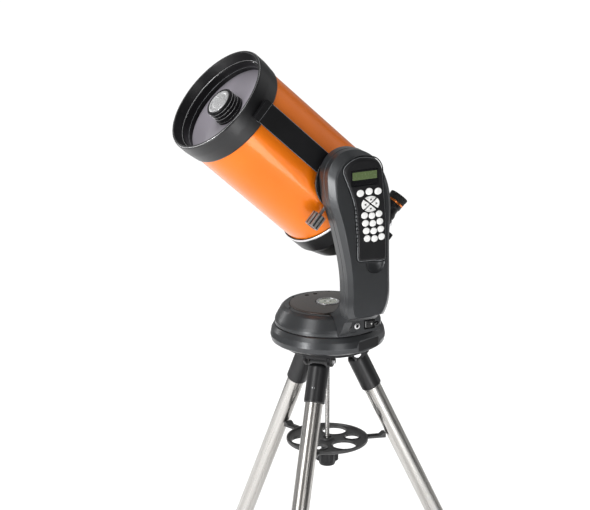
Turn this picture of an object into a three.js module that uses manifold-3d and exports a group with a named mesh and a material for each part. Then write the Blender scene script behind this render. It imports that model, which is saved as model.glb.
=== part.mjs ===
// Schmidt-Cassegrain telescope: an 8-inch tube on a single-fork computerised
// mount and a three-leg steel tripod. Millimetres, +Z up.
//
// Working frame: the azimuth axis is x = y = 0 and z = 0 is the seam between
// the turntable and the lower base. +X is the altitude axis, pointing at the
// fork arm, and the tube points to -Y and up. At the end the whole model is
// moved so that its bounding box stands centred on the origin.
import * as THREE from 'three';
import { mergeVertices } from 'three/addons/utils/BufferGeometryUtils.js';
import Module from 'manifold-3d';

const wasm = await Module();
wasm.setup();

// ---------------------------------------------------------------- dimensions
const GAP = 0.3;                  // running gap between neighbouring pieces
const FACETS = { large: 36, medium: 24, small: 16, tiny: 10 }; // round a circle

const ALTITUDE = 42;              // degrees, tube elevation at rest
const PIVOT = { y: -40, z: 339 }; // altitude axis
const AXIS_DROP = 24;             // tube axis below the altitude axis

const TUBE_R = 113;               // optical tube outer radius
const TUBE_WALL = 2;
const TUBE_FRONT = 216;           // along the tube axis from the altitude axis
const TUBE_REAR = -70;
const CELL_R = 119.6;             // front cell outer radius
const CELL_FRONT = 269;           // front rim
const CELL_REAR = 213.5;
const CORRECTOR_SEAT = 221;
const CORRECTOR_R = 107.5;
const CORRECTOR_THICK = 5;
const RETAINER_FRONT = 250;
const SECONDARY_R = 32;
const SECONDARY_NECK_R = 14.2;     // where the housing passes through the corrector
const SECONDARY_FRONT = 261;
const REAR_CELL_R = 117.5;
const REAR_CELL_RIM = -63.5;       // its front edge, lapped over the tube
const REAR_FACE = -152;           // its back face
const MIRROR_R = 103;
const MIRROR_BACK = -88;
const BAFFLE_R = 22;
const BACK_PORT_R = 21;
const VISUAL_BACK_REAR = -176;
const DIAGONAL_BARREL_R = 15.9;   // 1.25 inch barrel
const EYEPIECE_AXIS = -215;       // along the tube axis
const EYEPIECE_TOP = 101;         // above the tube axis
const FOCUS = { x: -44, t: -40, r: 13, length: 30 };

const BAR = { x0: 120.3, x1: 130.3, half: 23, front: 244, rear: -112 };
const CLAMP_PLATE = { x0: 130.6, x1: 136.4, discR: 64 };
const JOURNAL_R = 24;
const CLAMP_KNOB = { x: 120, w: -12, r: 15.6, t0: -81, length: 30 };

const ARM_X = { inner: 137, split: 160, outer: 190 };
const ARM_WALL = 6;
const FOOT_Y = { front: -36, back: 34 };  // width of the arm's foot

const TURNTABLE_R = 111.5;
const TURNTABLE_TOP = 40.3;
const BAY_R = 70;                 // battery bay
const LID_R = 80.5;
const LID_CHORD = 66;             // the lid stops short of the arm's foot
const BASE_R = 121;
const BASE_BOTTOM = -42;
const PANEL = { x: 111, y0: -16, y1: 62, z0: 4, z1: 36 };
const SWITCH = { y: 37, z: 20, width: 20, height: 15 };
const JACKS = [{ y: -11, z: 18, r: 3.3 }, { y: 8, z: 20, r: 4.2 }, { y: 54, z: 19, r: 3.3 }];

const LEG = {
  firstAzimuth: 44.6, splay: 25.6, hingeR: 56.9, hingeZ: -66,
  collarR: 22, collarEnd: -92, tubeR: 18.5, tubeInner: 16.5,
  tubeTop: -31, tubeEnd: -600, clampTop: -578, clampR: 23,
  innerR: 15, innerBore: 13, innerTop: -160, groundAt: -697,
};
const FOOT = { r: 17, top: -676, end: -706 };
const LOCK = { z: -590, bossR: 9, reach: 27, r: 15, depth: 3.5, lobes: 5, height: 14 };
const HEAD = { top: -42.4, bottom: -52, r: 92 };
const EAR = { inner: 23, outer: 29 };
const TONGUE_HALF = 20.5;
const ROD = { r: 5, end: -312 };
const TRAY = { z: -262, r: 87, thick: 9, armR: 127 };
const TRAY_KNOB = { top: -277, height: 42, r: 24 };

const SCOOP = { y: 4, z: 175 };   // finger scoop below the handset
const FACE_X = 197;               // handset front face
const WELL_X = 193;               // floor of the key wells
const KEY_BACK = 194.6;           // underside of the keys
const KEY_PROUD = 2.2;

// ----------------------------------------------------------------- materials
function finish(color, roughness, metalness) {
  return new THREE.MeshStandardMaterial({ color, roughness, metalness });
}
const ORANGE = finish(0xf07d1e, 0.22, 0.35);
const CHARCOAL = finish(0x484b4d, 0.45, 0.35);
const BLACK = finish(0x17181a, 0.4, 0.2);
const DARK_GREY = finish(0x35383b, 0.5, 0.2);
const STEEL = finish(0xc4c6c8, 0.18, 1.0);
const SILVER = finish(0xd6d8da, 0.28, 0.9);
const GLASS = finish(0x8b8790, 0.08, 0.0);
const MIRROR = finish(0xe8ebee, 0.05, 1.0);
const WHITE_KEY = finish(0xf1f1ee, 0.45, 0.0);
const LCD = finish(0x6a7f52, 0.3, 0.0);
const LID = finish(0x5c534e, 0.42, 0.2);

// --------------------------------------------------------------- solid tools
const rad = THREE.MathUtils.degToRad;

function signedVolume(geometry) {
  const p = geometry.attributes.position;
  const index = geometry.index.array;
  const corners = [new THREE.Vector3(), new THREE.Vector3(), new THREE.Vector3()];
  let sum = 0;
  for (let i = 0; i < index.length; i += 3) {
    corners.forEach((corner, k) => corner.fromBufferAttribute(p, index[i + k]));
    sum += corners[0].dot(corners[1].cross(corners[2]));
  }
  return sum / 6;
}

// One closed, outward-facing mesh with shared vertices.
function closed(geometry) {
  const bare = geometry.clone();
  for (const name of Object.keys(bare.attributes)) {
    if (name !== 'position') bare.deleteAttribute(name);
  }
  const merged = mergeVertices(bare, 1e-4);
  const all = merged.index.array;
  const kept = [];
  for (let i = 0; i < all.length; i += 3) {
    const [a, b, c] = [all[i], all[i + 1], all[i + 2]];
    if (a !== b && b !== c && a !== c) kept.push(a, b, c);
  }
  merged.setIndex(kept);
  if (signedVolume(merged) < 0) {
    for (let i = 0; i < kept.length; i += 3) {
      [kept[i + 1], kept[i + 2]] = [kept[i + 2], kept[i + 1]];
    }
    merged.setIndex(kept);
  }
  return merged;
}

function toManifold(geometry) {
  const solid = closed(geometry);
  return new wasm.Manifold(new wasm.Mesh({
    numProp: 3,
    vertProperties: new Float32Array(solid.attributes.position.array),
    triVerts: new Uint32Array(solid.index.array),
  }));
}

function fromManifold(manifold) {
  const mesh = manifold.getMesh();
  const geometry = new THREE.BufferGeometry();
  geometry.setAttribute('position', new THREE.BufferAttribute(mesh.vertProperties, 3));
  geometry.setIndex(new THREE.BufferAttribute(mesh.triVerts, 1));
  return geometry;
}

function combine(operation, first, others) {
  const result = others.reduce(
    (solid, other) => solid[operation](toManifold(other)), toManifold(first));
  return fromManifold(result);
}
const fuse = (first, ...others) => combine('add', first, others);
const cut = (first, ...others) => combine('subtract', first, others);
const common = (first, ...others) => combine('intersect', first, others);

// Solid of revolution about Z from [radius, height] points.
function turned(points, segments = FACETS.medium) {
  const profile = points.map(([r, z]) => new THREE.Vector2(r, z));
  return closed(new THREE.LatheGeometry(profile, segments).rotateX(Math.PI / 2));
}

function ring(rOut, rIn, z0, z1, segments = FACETS.medium) {
  return turned([[rIn, z0], [rOut, z0], [rOut, z1], [rIn, z1], [rIn, z0]], segments);
}

function rod(r, z0, z1, segments = FACETS.small) {
  return turned([[0, z0], [r, z0], [r, z1], [0, z1]], segments);
}

function box(x0, x1, y0, y1, z0, z1) {
  const geometry = new THREE.BoxGeometry(x1 - x0, y1 - y0, z1 - z0);
  return geometry.translate((x0 + x1) / 2, (y0 + y1) / 2, (z0 + z1) / 2);
}

// Extrusion along Z of a closed outline of [x, y] points.
function prism(outline, z0, z1, holes = []) {
  const toPath = (points) => points.map(([x, y]) => new THREE.Vector2(x, y));
  const shape = new THREE.Shape(toPath(outline));
  shape.holes = holes.map((hole) => new THREE.Path(toPath(hole)));
  const geometry = new THREE.ExtrudeGeometry(shape, { depth: z1 - z0, bevelEnabled: false });
  return geometry.translate(0, 0, z0);
}

// The same, for an outline in the Y-Z plane extruded along X.
function prismX(outline, x0, x1) {
  const geometry = prism(outline, x0, x1);
  const toYZ = new THREE.Matrix4().set(0, 0, 1, 0, 1, 0, 0, 0, 0, 1, 0, 0, 0, 0, 0, 1);
  return geometry.applyMatrix4(toYZ);
}

// For an outline in the X-Z plane extruded along Y.
function prismY(outline, y0, y1) {
  const geometry = prism(outline, y0, y1);
  const toXZ = new THREE.Matrix4().set(1, 0, 0, 0, 0, 0, 1, 0, 0, 1, 0, 0, 0, 0, 0, 1);
  return geometry.applyMatrix4(toXZ);
}

// Skin through equal-length Y-Z outlines set at increasing X.
function loftX(sections) {
  const count = sections[0].outline.length;
  const positions = [];
  const index = [];
  for (const { x, outline } of sections) {
    for (const [y, z] of outline) positions.push(x, y, z);
  }
  for (let s = 0; s + 1 < sections.length; s += 1) {
    for (let i = 0; i < count; i += 1) {
      const a = s * count + i;
      const b = s * count + (i + 1) % count;
      index.push(a, b, b + count, a, b + count, a + count);
    }
  }
  const cap = (s, flip) => {
    const loop = sections[s].outline.map(([y, z]) => new THREE.Vector2(y, z));
    for (const [a, b, c] of THREE.ShapeUtils.triangulateShape(loop, [])) {
      const face = flip ? [c, b, a] : [a, b, c];
      face.forEach((corner) => index.push(s * count + corner));
    }
  };
  cap(0, true);
  cap(sections.length - 1, false);
  const geometry = new THREE.BufferGeometry();
  geometry.setAttribute('position', new THREE.Float32BufferAttribute(positions, 3));
  geometry.setIndex(index);
  return closed(geometry);
}

// Smooth closed outline through a few points.
function smooth(points, count) {
  const curve = new THREE.CatmullRomCurve3(
    points.map(([y, z]) => new THREE.Vector3(y, z, 0)), true, 'centripetal');
  return curve.getPoints(count).slice(0, count).map((p) => [p.x, p.y]);
}

// Move every point of a counter-clockwise outline inwards.
function inset(outline, distance) {
  return outline.map(([y, z], i) => {
    const before = outline[(i + outline.length - 1) % outline.length];
    const after = outline[(i + 1) % outline.length];
    const dy = after[0] - before[0];
    const dz = after[1] - before[1];
    const length = Math.hypot(dy, dz);
    return [y - (dz / length) * distance, z + (dy / length) * distance];
  });
}

// Shrink an outline towards the middle of its box, so that it never folds.
function shrink(outline, distance) {
  const box2 = new THREE.Box2().setFromPoints(outline.map(([y, z]) => new THREE.Vector2(y, z)));
  const size = box2.getSize(new THREE.Vector2());
  const mid = box2.getCenter(new THREE.Vector2());
  const ky = 1 - (2 * distance) / size.x;
  const kz = 1 - (2 * distance) / size.y;
  return outline.map(([y, z]) => [mid.x + (y - mid.x) * ky, mid.y + (z - mid.y) * kz]);
}

function circle(cx, cy, rx, ry = rx, count = FACETS.tiny) {
  return Array.from({ length: count }, (_, i) => {
    const angle = (2 * Math.PI * i) / count;
    return [cx + rx * Math.cos(angle), cy + ry * Math.sin(angle)];
  });
}

// Round body with lobes or flutes round its edge, between two heights.
function lobed(r, depth, lobes, z0, z1) {
  const perLobe = 4;
  const outline = Array.from({ length: lobes * perLobe }, (_, i) => {
    const angle = (2 * Math.PI * i) / (lobes * perLobe);
    const reach = r - depth * (0.5 - 0.5 * Math.cos(lobes * angle));
    return [reach * Math.cos(angle), reach * Math.sin(angle)];
  });
  return prism(outline, z0, z1);
}

const model = new THREE.Group();

function add(parent, name, geometry, material) {
  const mesh = new THREE.Mesh(closed(geometry), material);
  mesh.name = name;
  parent.add(mesh);
  return mesh;
}

// ----------------------------------------------------- lower base and tripod
function buildBase() {
  const shell = turned([
    [14.5, BASE_BOTTOM], [96, BASE_BOTTOM], [112, -39], [119, -34], [BASE_R, -24],
    [118.5, -12], [114, -4], [TURNTABLE_R, -GAP], [30, -GAP], [30, -14], [14.5, -14],
    [14.5, BASE_BOTTOM],
  ], FACETS.large);
  const facetAzimuth = rad(108.6);
  const facet = box(115, 140, -60, 60, -37, -10);
  facet.rotateZ(facetAzimuth - Math.PI / 2);
  const gearWell = ring(88, 40, -BASE_R, -12 - GAP, FACETS.medium);
  add(model, 'lower_base', cut(shell, facet, gearWell), CHARCOAL);

  const plate = turned([
    [0, HEAD.top], [88, HEAD.top], [HEAD.r, HEAD.top - 3], [HEAD.r - 2, HEAD.bottom],
    [20, HEAD.bottom], [16, HEAD.bottom - 8], [0, HEAD.bottom - 8],
  ], FACETS.medium);
  const pieces = [];
  for (let leg = 0; leg < 3; leg += 1) {
    const turn = rad(LEG.firstAzimuth + 120 * leg);
    for (const side of [-1, 1]) {
      const ear = prismX([
        [-84, HEAD.bottom + 2], [-84, -62], [-66, -78], [-48, -78], [-38, HEAD.bottom + 2],
      ], side > 0 ? EAR.inner : -EAR.outer, side > 0 ? EAR.outer : -EAR.inner);
      pieces.push(ear.rotateZ(turn));
    }
  }
  add(model, 'tripod_head', fuse(plate, ...pieces), BLACK);
  add(model, 'centre_rod', rod(ROD.r, ROD.end, HEAD.bottom - 8 - GAP, FACETS.tiny), STEEL);
}

function buildTray() {
  const half = TRAY.thick / 2;
  const rim = [
    [9, -half], [TRAY.r - 3, -half], [TRAY.r, -half + 3], [TRAY.r, half],
    [TRAY.r - 4, half], [TRAY.r - 5, half - 4], [16, half - 4], [14, half], [9, half], [9, -half],
  ];
  let tray = turned(rim, FACETS.large).translate(0, 0, TRAY.z);
  const arms = [];
  const holes = [];
  for (let leg = 0; leg < 3; leg += 1) {
    const turn = rad(LEG.firstAzimuth + 120 * leg);
    const arm = prismX([
      [-TRAY.armR, -half], [-TRAY.armR, 6], [-TRAY.armR + 5, 6], [-TRAY.armR + 12, 0],
      [-70, 0], [-70, -half],
    ], -9, 9);
    arms.push(arm.translate(0, 0, TRAY.z).rotateZ(turn));
    const large = rod(26, -20, 20, FACETS.small).translate(0, 52, TRAY.z);
    const small = rod(16.2, -20, 20, FACETS.small).translate(0, 54, TRAY.z);
    holes.push(large.rotateZ(turn), small.rotateZ(turn + rad(60)));
  }
  tray = fuse(tray, ...arms);
  add(model, 'accessory_tray', cut(tray, ...holes), DARK_GREY);

  const { top, height, r } = TRAY_KNOB;
  const grip = lobed(r, 5, 6, top - height + 8, top - 12);
  const hub = turned([[0, top - height], [16, top - height], [19, top - height + 8],
    [19, top - 12], [13, top - 12], [13, top], [0, top]], FACETS.small);
  const bore = rod(ROD.r + GAP, top - height + 3, top + 5, FACETS.tiny);
  add(model, 'tray_knob', cut(fuse(grip, hub), bore), BLACK);
}

function buildLeg(number) {
  const carrier = new THREE.Group();
  carrier.rotation.z = rad(LEG.firstAzimuth + 120 * (number - 1));
  const leg = new THREE.Group();
  leg.position.set(0, -LEG.hingeR, LEG.hingeZ);
  leg.rotation.x = -rad(LEG.splay);
  carrier.add(leg);
  model.add(carrier);

  const sleeve = turned([
    [0, -10], [LEG.collarR - 3, -10], [LEG.collarR, -14], [LEG.collarR, LEG.collarEnd + 2],
    [LEG.collarR - 1.5, LEG.collarEnd], [LEG.tubeR + GAP, LEG.collarEnd],
    [LEG.tubeR + GAP, LEG.tubeTop + GAP], [0, LEG.tubeTop + GAP],
  ], FACETS.small);
  const eye = circle(0, 0, 10).slice(0, 8);
  const tongue = prismX([...eye, [-10, -18], [10, -18]], -TONGUE_HALF, TONGUE_HALF);
  add(leg, `leg_collar_${number}`, fuse(sleeve, tongue), BLACK);

  const tube = ring(LEG.tubeR, LEG.tubeInner, LEG.tubeEnd, LEG.tubeTop, FACETS.small);
  const clampBore = LEG.innerR + GAP;
  const clamp = turned([
    [clampBore, LEG.tubeEnd], [LEG.clampR, LEG.tubeEnd], [LEG.clampR, LEG.clampTop - 4],
    [LEG.clampR - 3, LEG.clampTop], [clampBore, LEG.clampTop], [clampBore, LEG.tubeEnd],
  ], FACETS.small);
  const boss = rod(LOCK.bossR, 0, LOCK.reach, FACETS.tiny).rotateX(-Math.PI / 2);
  boss.translate(0, 0, LOCK.z);
  const bossBore = rod(clampBore, LOCK.z - 30, LOCK.z + 30, FACETS.small);
  add(leg, `leg_tube_${number}`, fuse(tube, clamp, cut(boss, bossBore)), STEEL);

  const inner = turned([
    [0, FOOT.end], [9, FOOT.end], [FOOT.r, FOOT.end + 8], [FOOT.r, FOOT.top - 4],
    [LEG.innerR, FOOT.top], [LEG.innerR, LEG.innerTop], [LEG.innerBore, LEG.innerTop],
    [LEG.innerBore, FOOT.top + 4], [0, FOOT.top + 4],
  ], FACETS.small);
  const ground = box(-60, 60, -60, 60, LEG.groundAt - 60, LEG.groundAt);
  ground.translate(0, 0, -LEG.groundAt).rotateX(rad(LEG.splay)).translate(0, 0, LEG.groundAt);
  add(leg, `leg_extension_${number}`, cut(inner, ground), STEEL);

  const knob = lobed(LOCK.r, LOCK.depth, LOCK.lobes, 0, LOCK.height).rotateX(-Math.PI / 2);
  knob.translate(0, LOCK.reach + GAP, LOCK.z);
  add(leg, `leg_lock_knob_${number}`, knob, BLACK);
}

// ------------------------------------------------------- turntable and panel
const housingOutline = (grow = 0) => [
  [TURNTABLE_R + grow, GAP - grow], [TURNTABLE_R + grow, 9], [109.5 + grow, 17],
  [104 + grow, 27], [98 + grow, 35 + grow / 2], [92 + grow / 2, TURNTABLE_TOP + grow],
];

function panelBlock(grow = 0) {
  const outline = [
    [PANEL.y0 - grow, PANEL.z0], [PANEL.y1 + grow, PANEL.z0], [PANEL.y1 + grow, 30],
    [PANEL.y1 - 9, PANEL.z1 + grow], [PANEL.y0 - grow, PANEL.z1 + grow],
  ];
  return prismX(outline, 50, PANEL.x + grow);
}

function buildTurntable() {
  const shell = turned([
    [0, GAP], ...housingOutline(), [LID_R + GAP, TURNTABLE_TOP], [LID_R + GAP, 36],
    [BAY_R, 36], [BAY_R, 12], [0, 12],
  ], FACETS.large);
  const journal = turned([
    [0, -11], [28, -11], [29.5, -9], [29.5, GAP + 1], [0, GAP + 1],
  ], FACETS.small);
  const panel = cut(panelBlock(), rod(BAY_R + 3, 0, 60, FACETS.medium));
  const wellY = SWITCH.width / 2 + 1;
  const wellZ = SWITCH.height / 2 + 1;
  const switchWell = box(PANEL.x - 7, PANEL.x + 5, SWITCH.y - wellY, SWITCH.y + wellY,
    SWITCH.z - wellZ, SWITCH.z + wellZ);
  const jackWells = JACKS.map(({ y, z, r }) =>
    rod(r, PANEL.x - 6, PANEL.x + 5, FACETS.tiny).rotateY(Math.PI / 2).translate(0, y, z));
  const housing = fuse(shell, journal, panel);
  add(model, 'turntable_housing', cut(housing, switchWell, ...jackWells), CHARCOAL);

  const rocker = prism([
    [-6, -9.6], [-1.2, -9.6], [1.6, 0], [-1.2, 9.6], [-6, 9.6], [-6, 3], [-4.4, 0], [-6, -3],
  ], -SWITCH.height / 2 + 0.5, SWITCH.height / 2 - 0.5);
  add(model, 'power_switch', rocker.translate(PANEL.x, SWITCH.y, SWITCH.z), BLACK);

  const disc = turned([[0, 36.3], [LID_R, 36.3], [LID_R, 41], [LID_R - 3, 42.6],
    [60, 43.6], [27, 44.2], [27, 41.6], [0, 41.6]], FACETS.large);
  const chord = box(LID_CHORD, 130, -130, 130, 0, 80);
  const fingerHoles = [-16, 4].map((y) => rod(5.2, 30, 60, FACETS.tiny).translate(-63, y, 0));
  add(model, 'battery_cover', cut(disc, chord, ...fingerHoles), LID);
  const vial = turned([[0, 41.9], [24.4, 41.9], [24.4, 45.2], [23, 46], [20.5, 46],
    [19.5, 45], [0, 45]], FACETS.medium);
  add(model, 'level_vial', vial, SILVER);
}

// ---------------------------------------------------------------- fork arm
// Side view of the arm, counter-clockwise from its front lower corner.
const ARM_OUTLINE = smooth([
  [-44, 56], [-10, 52], [26, 55], [38, 70], [45, 92], [45, 150], [44, 220], [46, 290],
  [42, 322], [31, 354], [12, 385], [-14, 404], [-44, 411], [-70, 405], [-87, 390], [-97, 368],
  [-97, 338], [-92, 305], [-79, 268], [-68, 228], [-58, 184], [-52, 145], [-50, 108], [-50, 74],
], 52);

function armFoot() {
  const fillet = new THREE.CubicBezierCurve(
    new THREE.Vector2(74, 44), new THREE.Vector2(104, 54),
    new THREE.Vector2(124, 84), new THREE.Vector2(139, 142)).getPoints(8);
  const back = ARM_X.split - GAP;
  const foot = [
    [70, 41.2], ...fillet.map((p) => [p.x, p.y]), [back, 142], [back, 56], [140, 41.2],
  ];
  const block = prismY(foot, FOOT_Y.front, FOOT_Y.back);
  const tip = prismY([
    [78, 40], [76, 44], [140, 60], [142, 50], [129, 26], [112, 3], [100, 3],
  ], FOOT_Y.front, FOOT_Y.front + 18);
  const keepOut = turned([
    [0, GAP - 2], ...housingOutline(GAP), [0, TURNTABLE_TOP + GAP],
  ], FACETS.large);
  return cut(fuse(block, tip), keepOut, panelBlock(GAP));
}

function buildArm() {
  const body = loftX([
    { x: ARM_X.inner, outline: inset(ARM_OUTLINE, 5) },
    { x: ARM_X.inner + 5, outline: ARM_OUTLINE },
    { x: ARM_X.split - GAP, outline: ARM_OUTLINE },
  ]);
  const hollow = loftX([
    { x: ARM_X.inner + ARM_WALL, outline: shrink(ARM_OUTLINE, 12) },
    { x: ARM_X.split + 5, outline: shrink(ARM_OUTLINE, 12) },
  ]);
  const upperHalf = box(100, 200, -200, 200, 150, 500);
  const bearingWall = rod(JOURNAL_R + 7, ARM_X.inner, ARM_X.split - 4, FACETS.small)
    .rotateY(Math.PI / 2).translate(0, PIVOT.y, PIVOT.z);
  const bore = rod(JOURNAL_R + 0.9, ARM_X.inner - 5, ARM_X.split + 5, FACETS.medium)
    .rotateY(Math.PI / 2).translate(0, PIVOT.y, PIVOT.z);
  const shell = cut(body, common(hollow, upperHalf));
  add(model, 'fork_arm', cut(fuse(shell, bearingWall, armFoot()), bore), CHARCOAL);

  const cover = loftX([
    { x: ARM_X.split, outline: inset(ARM_OUTLINE, 2.5) },
    { x: ARM_X.split + 2.5, outline: ARM_OUTLINE },
    { x: ARM_X.outer - 13, outline: shrink(ARM_OUTLINE, 1.5) },
    { x: ARM_X.outer - 5, outline: shrink(ARM_OUTLINE, 6) },
    { x: ARM_X.outer, outline: shrink(ARM_OUTLINE, 13) },
  ]);
  const pocket = loftX([
    { x: 175.5, outline: inset(HANDSET_OUTLINE, -1.2) },
    { x: ARM_X.outer + 5, outline: inset(HANDSET_OUTLINE, -1.2) },
  ]);
  const scoop = new THREE.SphereGeometry(1, FACETS.small, 10).scale(9, 22, 21);
  scoop.translate(ARM_X.outer + 1, SCOOP.y, SCOOP.z);
  const underside = box(-60, 10, -100, 100, -40, 0).rotateY(rad(-18));
  underside.translate(ARM_X.outer, 0, 66);
  add(model, 'fork_arm_cover', cut(cover, pocket, scoop, underside), CHARCOAL);
}

// ----------------------------------------------------------------- handset
// Side view of the hand control, counter-clockwise from its lower corner.
const HANDSET_OUTLINE = smooth([
  [-37, 187], [-34, 184], [-4, 182], [24, 180], [27, 184], [27, 225], [25, 275], [21, 322],
  [17, 360], [14, 376], [4, 389], [-16, 396], [-40, 397], [-60, 389], [-71, 378], [-72, 371],
  [-64, 350], [-55, 328], [-46, 300], [-42, 262], [-39, 222],
], 44);
const keyColumn = (z) => -13 - 0.136 * (z - 302);

function keyCap(rx, ry, y, z) {
  const back = KEY_BACK - FACE_X;
  const cap = turned([
    [0, back], [1, back], [1, 1.4], [0.84, KEY_PROUD], [0, KEY_PROUD],
  ], FACETS.tiny);
  cap.scale(ry, rx, 1).rotateY(Math.PI / 2);
  return cap.translate(FACE_X, y, z);
}

// A quarter of the oval direction pad, between its two diagonal grooves.
function padQuarter(middle, y, z) {
  const groove = 2.0;
  const [ry, rz] = [20, 16];
  const margin = 0.09;
  const start = middle - Math.PI / 4 + margin;
  const sweep = Math.PI / 2 - 2 * margin;
  const arc = Array.from({ length: 9 }, (_, i) => start + (i / 8) * sweep);
  const outline = arc.map((a) => [y + ry * Math.cos(a), z + rz * Math.sin(a)]);
  outline.push([y + groove * Math.cos(middle), z + groove * Math.sin(middle)]);
  return outline;
}

function buildHandset() {
  const body = loftX([
    { x: 176, outline: inset(HANDSET_OUTLINE, 1) },
    { x: 189, outline: HANDSET_OUTLINE },
    { x: 194, outline: inset(HANDSET_OUTLINE, 2.5) },
    { x: FACE_X, outline: shrink(HANDSET_OUTLINE, 6.5) },
  ]);
  const keys = [];
  const topLift = [0, 1.8, 0];      // the middle column stands a little apart
  const gridDrop = [0, -2, 0];
  for (let column = -1; column <= 1; column += 1) {
    const z = 326 + topLift[column + 1];
    keys.push({ name: `key_top_${column + 2}`, y: keyColumn(z) + 20 * column, z, r: [7.9, 7] });
  }
  for (let row = 0; row < 4; row += 1) {
    for (let column = -1; column <= 1; column += 1) {
      const z = 279.5 - 16 * row + gridDrop[column + 1];
      const number = row * 3 + column + 2;
      keys.push({ name: `key_pad_${number}`, y: keyColumn(z) + 16.4 * column, z, r: [7.3, 6.7] });
    }
  }
  const padZ = 302;
  const padY = keyColumn(padZ);
  const open = FACE_X + 8;
  const wells = keys.map(({ y, z, r }) =>
    prismX(circle(y, z, r[0] + 0.4, r[1] + 0.4), WELL_X, open));
  const arrows = ['right', 'up', 'left', 'down'];
  const padWells = arrows.map((name, i) =>
    prismX(inset(padQuarter((i * Math.PI) / 2, padY, padZ), -0.5), WELL_X, open));
  const screen = [[-57, 340], [6, 340], [4, 374], [-58, 374]];
  const screenWell = prismX(screen, FACE_X - 2.5, open);
  add(model, 'handset_case', cut(body, ...wells, ...padWells, screenWell), BLACK);
  const pane = prismX(inset(screen, 0.35), FACE_X - 2.2, FACE_X - 0.6);
  add(model, 'handset_display', pane, LCD);

  for (const { name, y, z, r } of keys) add(model, name, keyCap(r[0], r[1], y, z), WHITE_KEY);
  arrows.forEach((name, i) => {
    const quarter = padQuarter((i * Math.PI) / 2, padY, padZ);
    add(model, `arrow_${name}`, prismX(quarter, KEY_BACK, FACE_X + KEY_PROUD), WHITE_KEY);
  });
}

// -------------------------------------------------------------- optical tube
// Local frame of the tube: Z along its axis towards the sky, Y up and square
// to it, X the altitude axis. Its origin is on the altitude axis.
const hub = new THREE.Group();
hub.position.set(0, PIVOT.y, PIVOT.z);
hub.rotation.x = rad(90 - ALTITUDE);
model.add(hub);
const optics = new THREE.Group();
optics.position.y = -AXIS_DROP;
hub.add(optics);

function buildClamp() {
  const plate = box(CLAMP_PLATE.x0, CLAMP_PLATE.x1, -44, 44, -48, 48);
  const disc = rod(CLAMP_PLATE.discR, CLAMP_PLATE.x0 + 0.9, CLAMP_PLATE.x1, FACETS.medium);
  disc.rotateY(Math.PI / 2);
  const journal = rod(JOURNAL_R, CLAMP_PLATE.x1 - 1, ARM_X.split - 3, FACETS.small);
  journal.rotateY(Math.PI / 2);
  const jaws = [-1, 1].map((side) => prism([
    [122.8, side * 22.2], [CLAMP_PLATE.x0 + 0.5, side * (BAR.half + 0.5)],
    [CLAMP_PLATE.x0 + 0.5, side * 44], [125, side * 42], [122.8, side * 38],
  ], -45, 45));
  const studLength = -CLAMP_KNOB.t0 - GAP;
  const stud = rod(4, studLength - 40, studLength, FACETS.tiny)
    .rotateX(Math.PI / 2).translate(CLAMP_KNOB.x, 0, CLAMP_KNOB.w);
  const lug = box(113.5, CLAMP_PLATE.x0 + 1, -52, -41, CLAMP_KNOB.w - 14, CLAMP_KNOB.w + 14);
  const clearance = rod(TUBE_R + 1.2, -200, 200, FACETS.large).translate(0, -AXIS_DROP, 0);
  const casting = fuse(plate, disc, journal, ...jaws, lug, stud);
  add(hub, 'dovetail_clamp', cut(casting, clearance), BLACK);

  const { x, w, r, t0, length } = CLAMP_KNOB;
  const knob = lobed(r, 2.2, 10, 0, length).rotateX(Math.PI / 2).translate(x, t0, w);
  add(hub, 'clamp_knob', knob, STEEL);
}

function buildBar() {
  const rail = prism([
    [BAR.x0, -20.5], [BAR.x1, -BAR.half], [BAR.x1, BAR.half], [BAR.x0, 20.5],
  ], BAR.rear, BAR.front);
  const blocks = [[200, BAR.front - 2], [BAR.rear + 4, -62]].map(([z0, z1]) =>
    box(96, BAR.x0 + 0.5, -20, 20, z0, z1));
  const frontSpace = rod(CELL_R + GAP, 150, 300, FACETS.large).translate(0, -AXIS_DROP, 0);
  const rearSpace = rod(REAR_CELL_R + GAP, -200, -20, FACETS.large).translate(0, -AXIS_DROP, 0);
  add(hub, 'dovetail_bar', cut(fuse(rail, ...blocks), frontSpace, rearSpace), BLACK);
}

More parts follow.
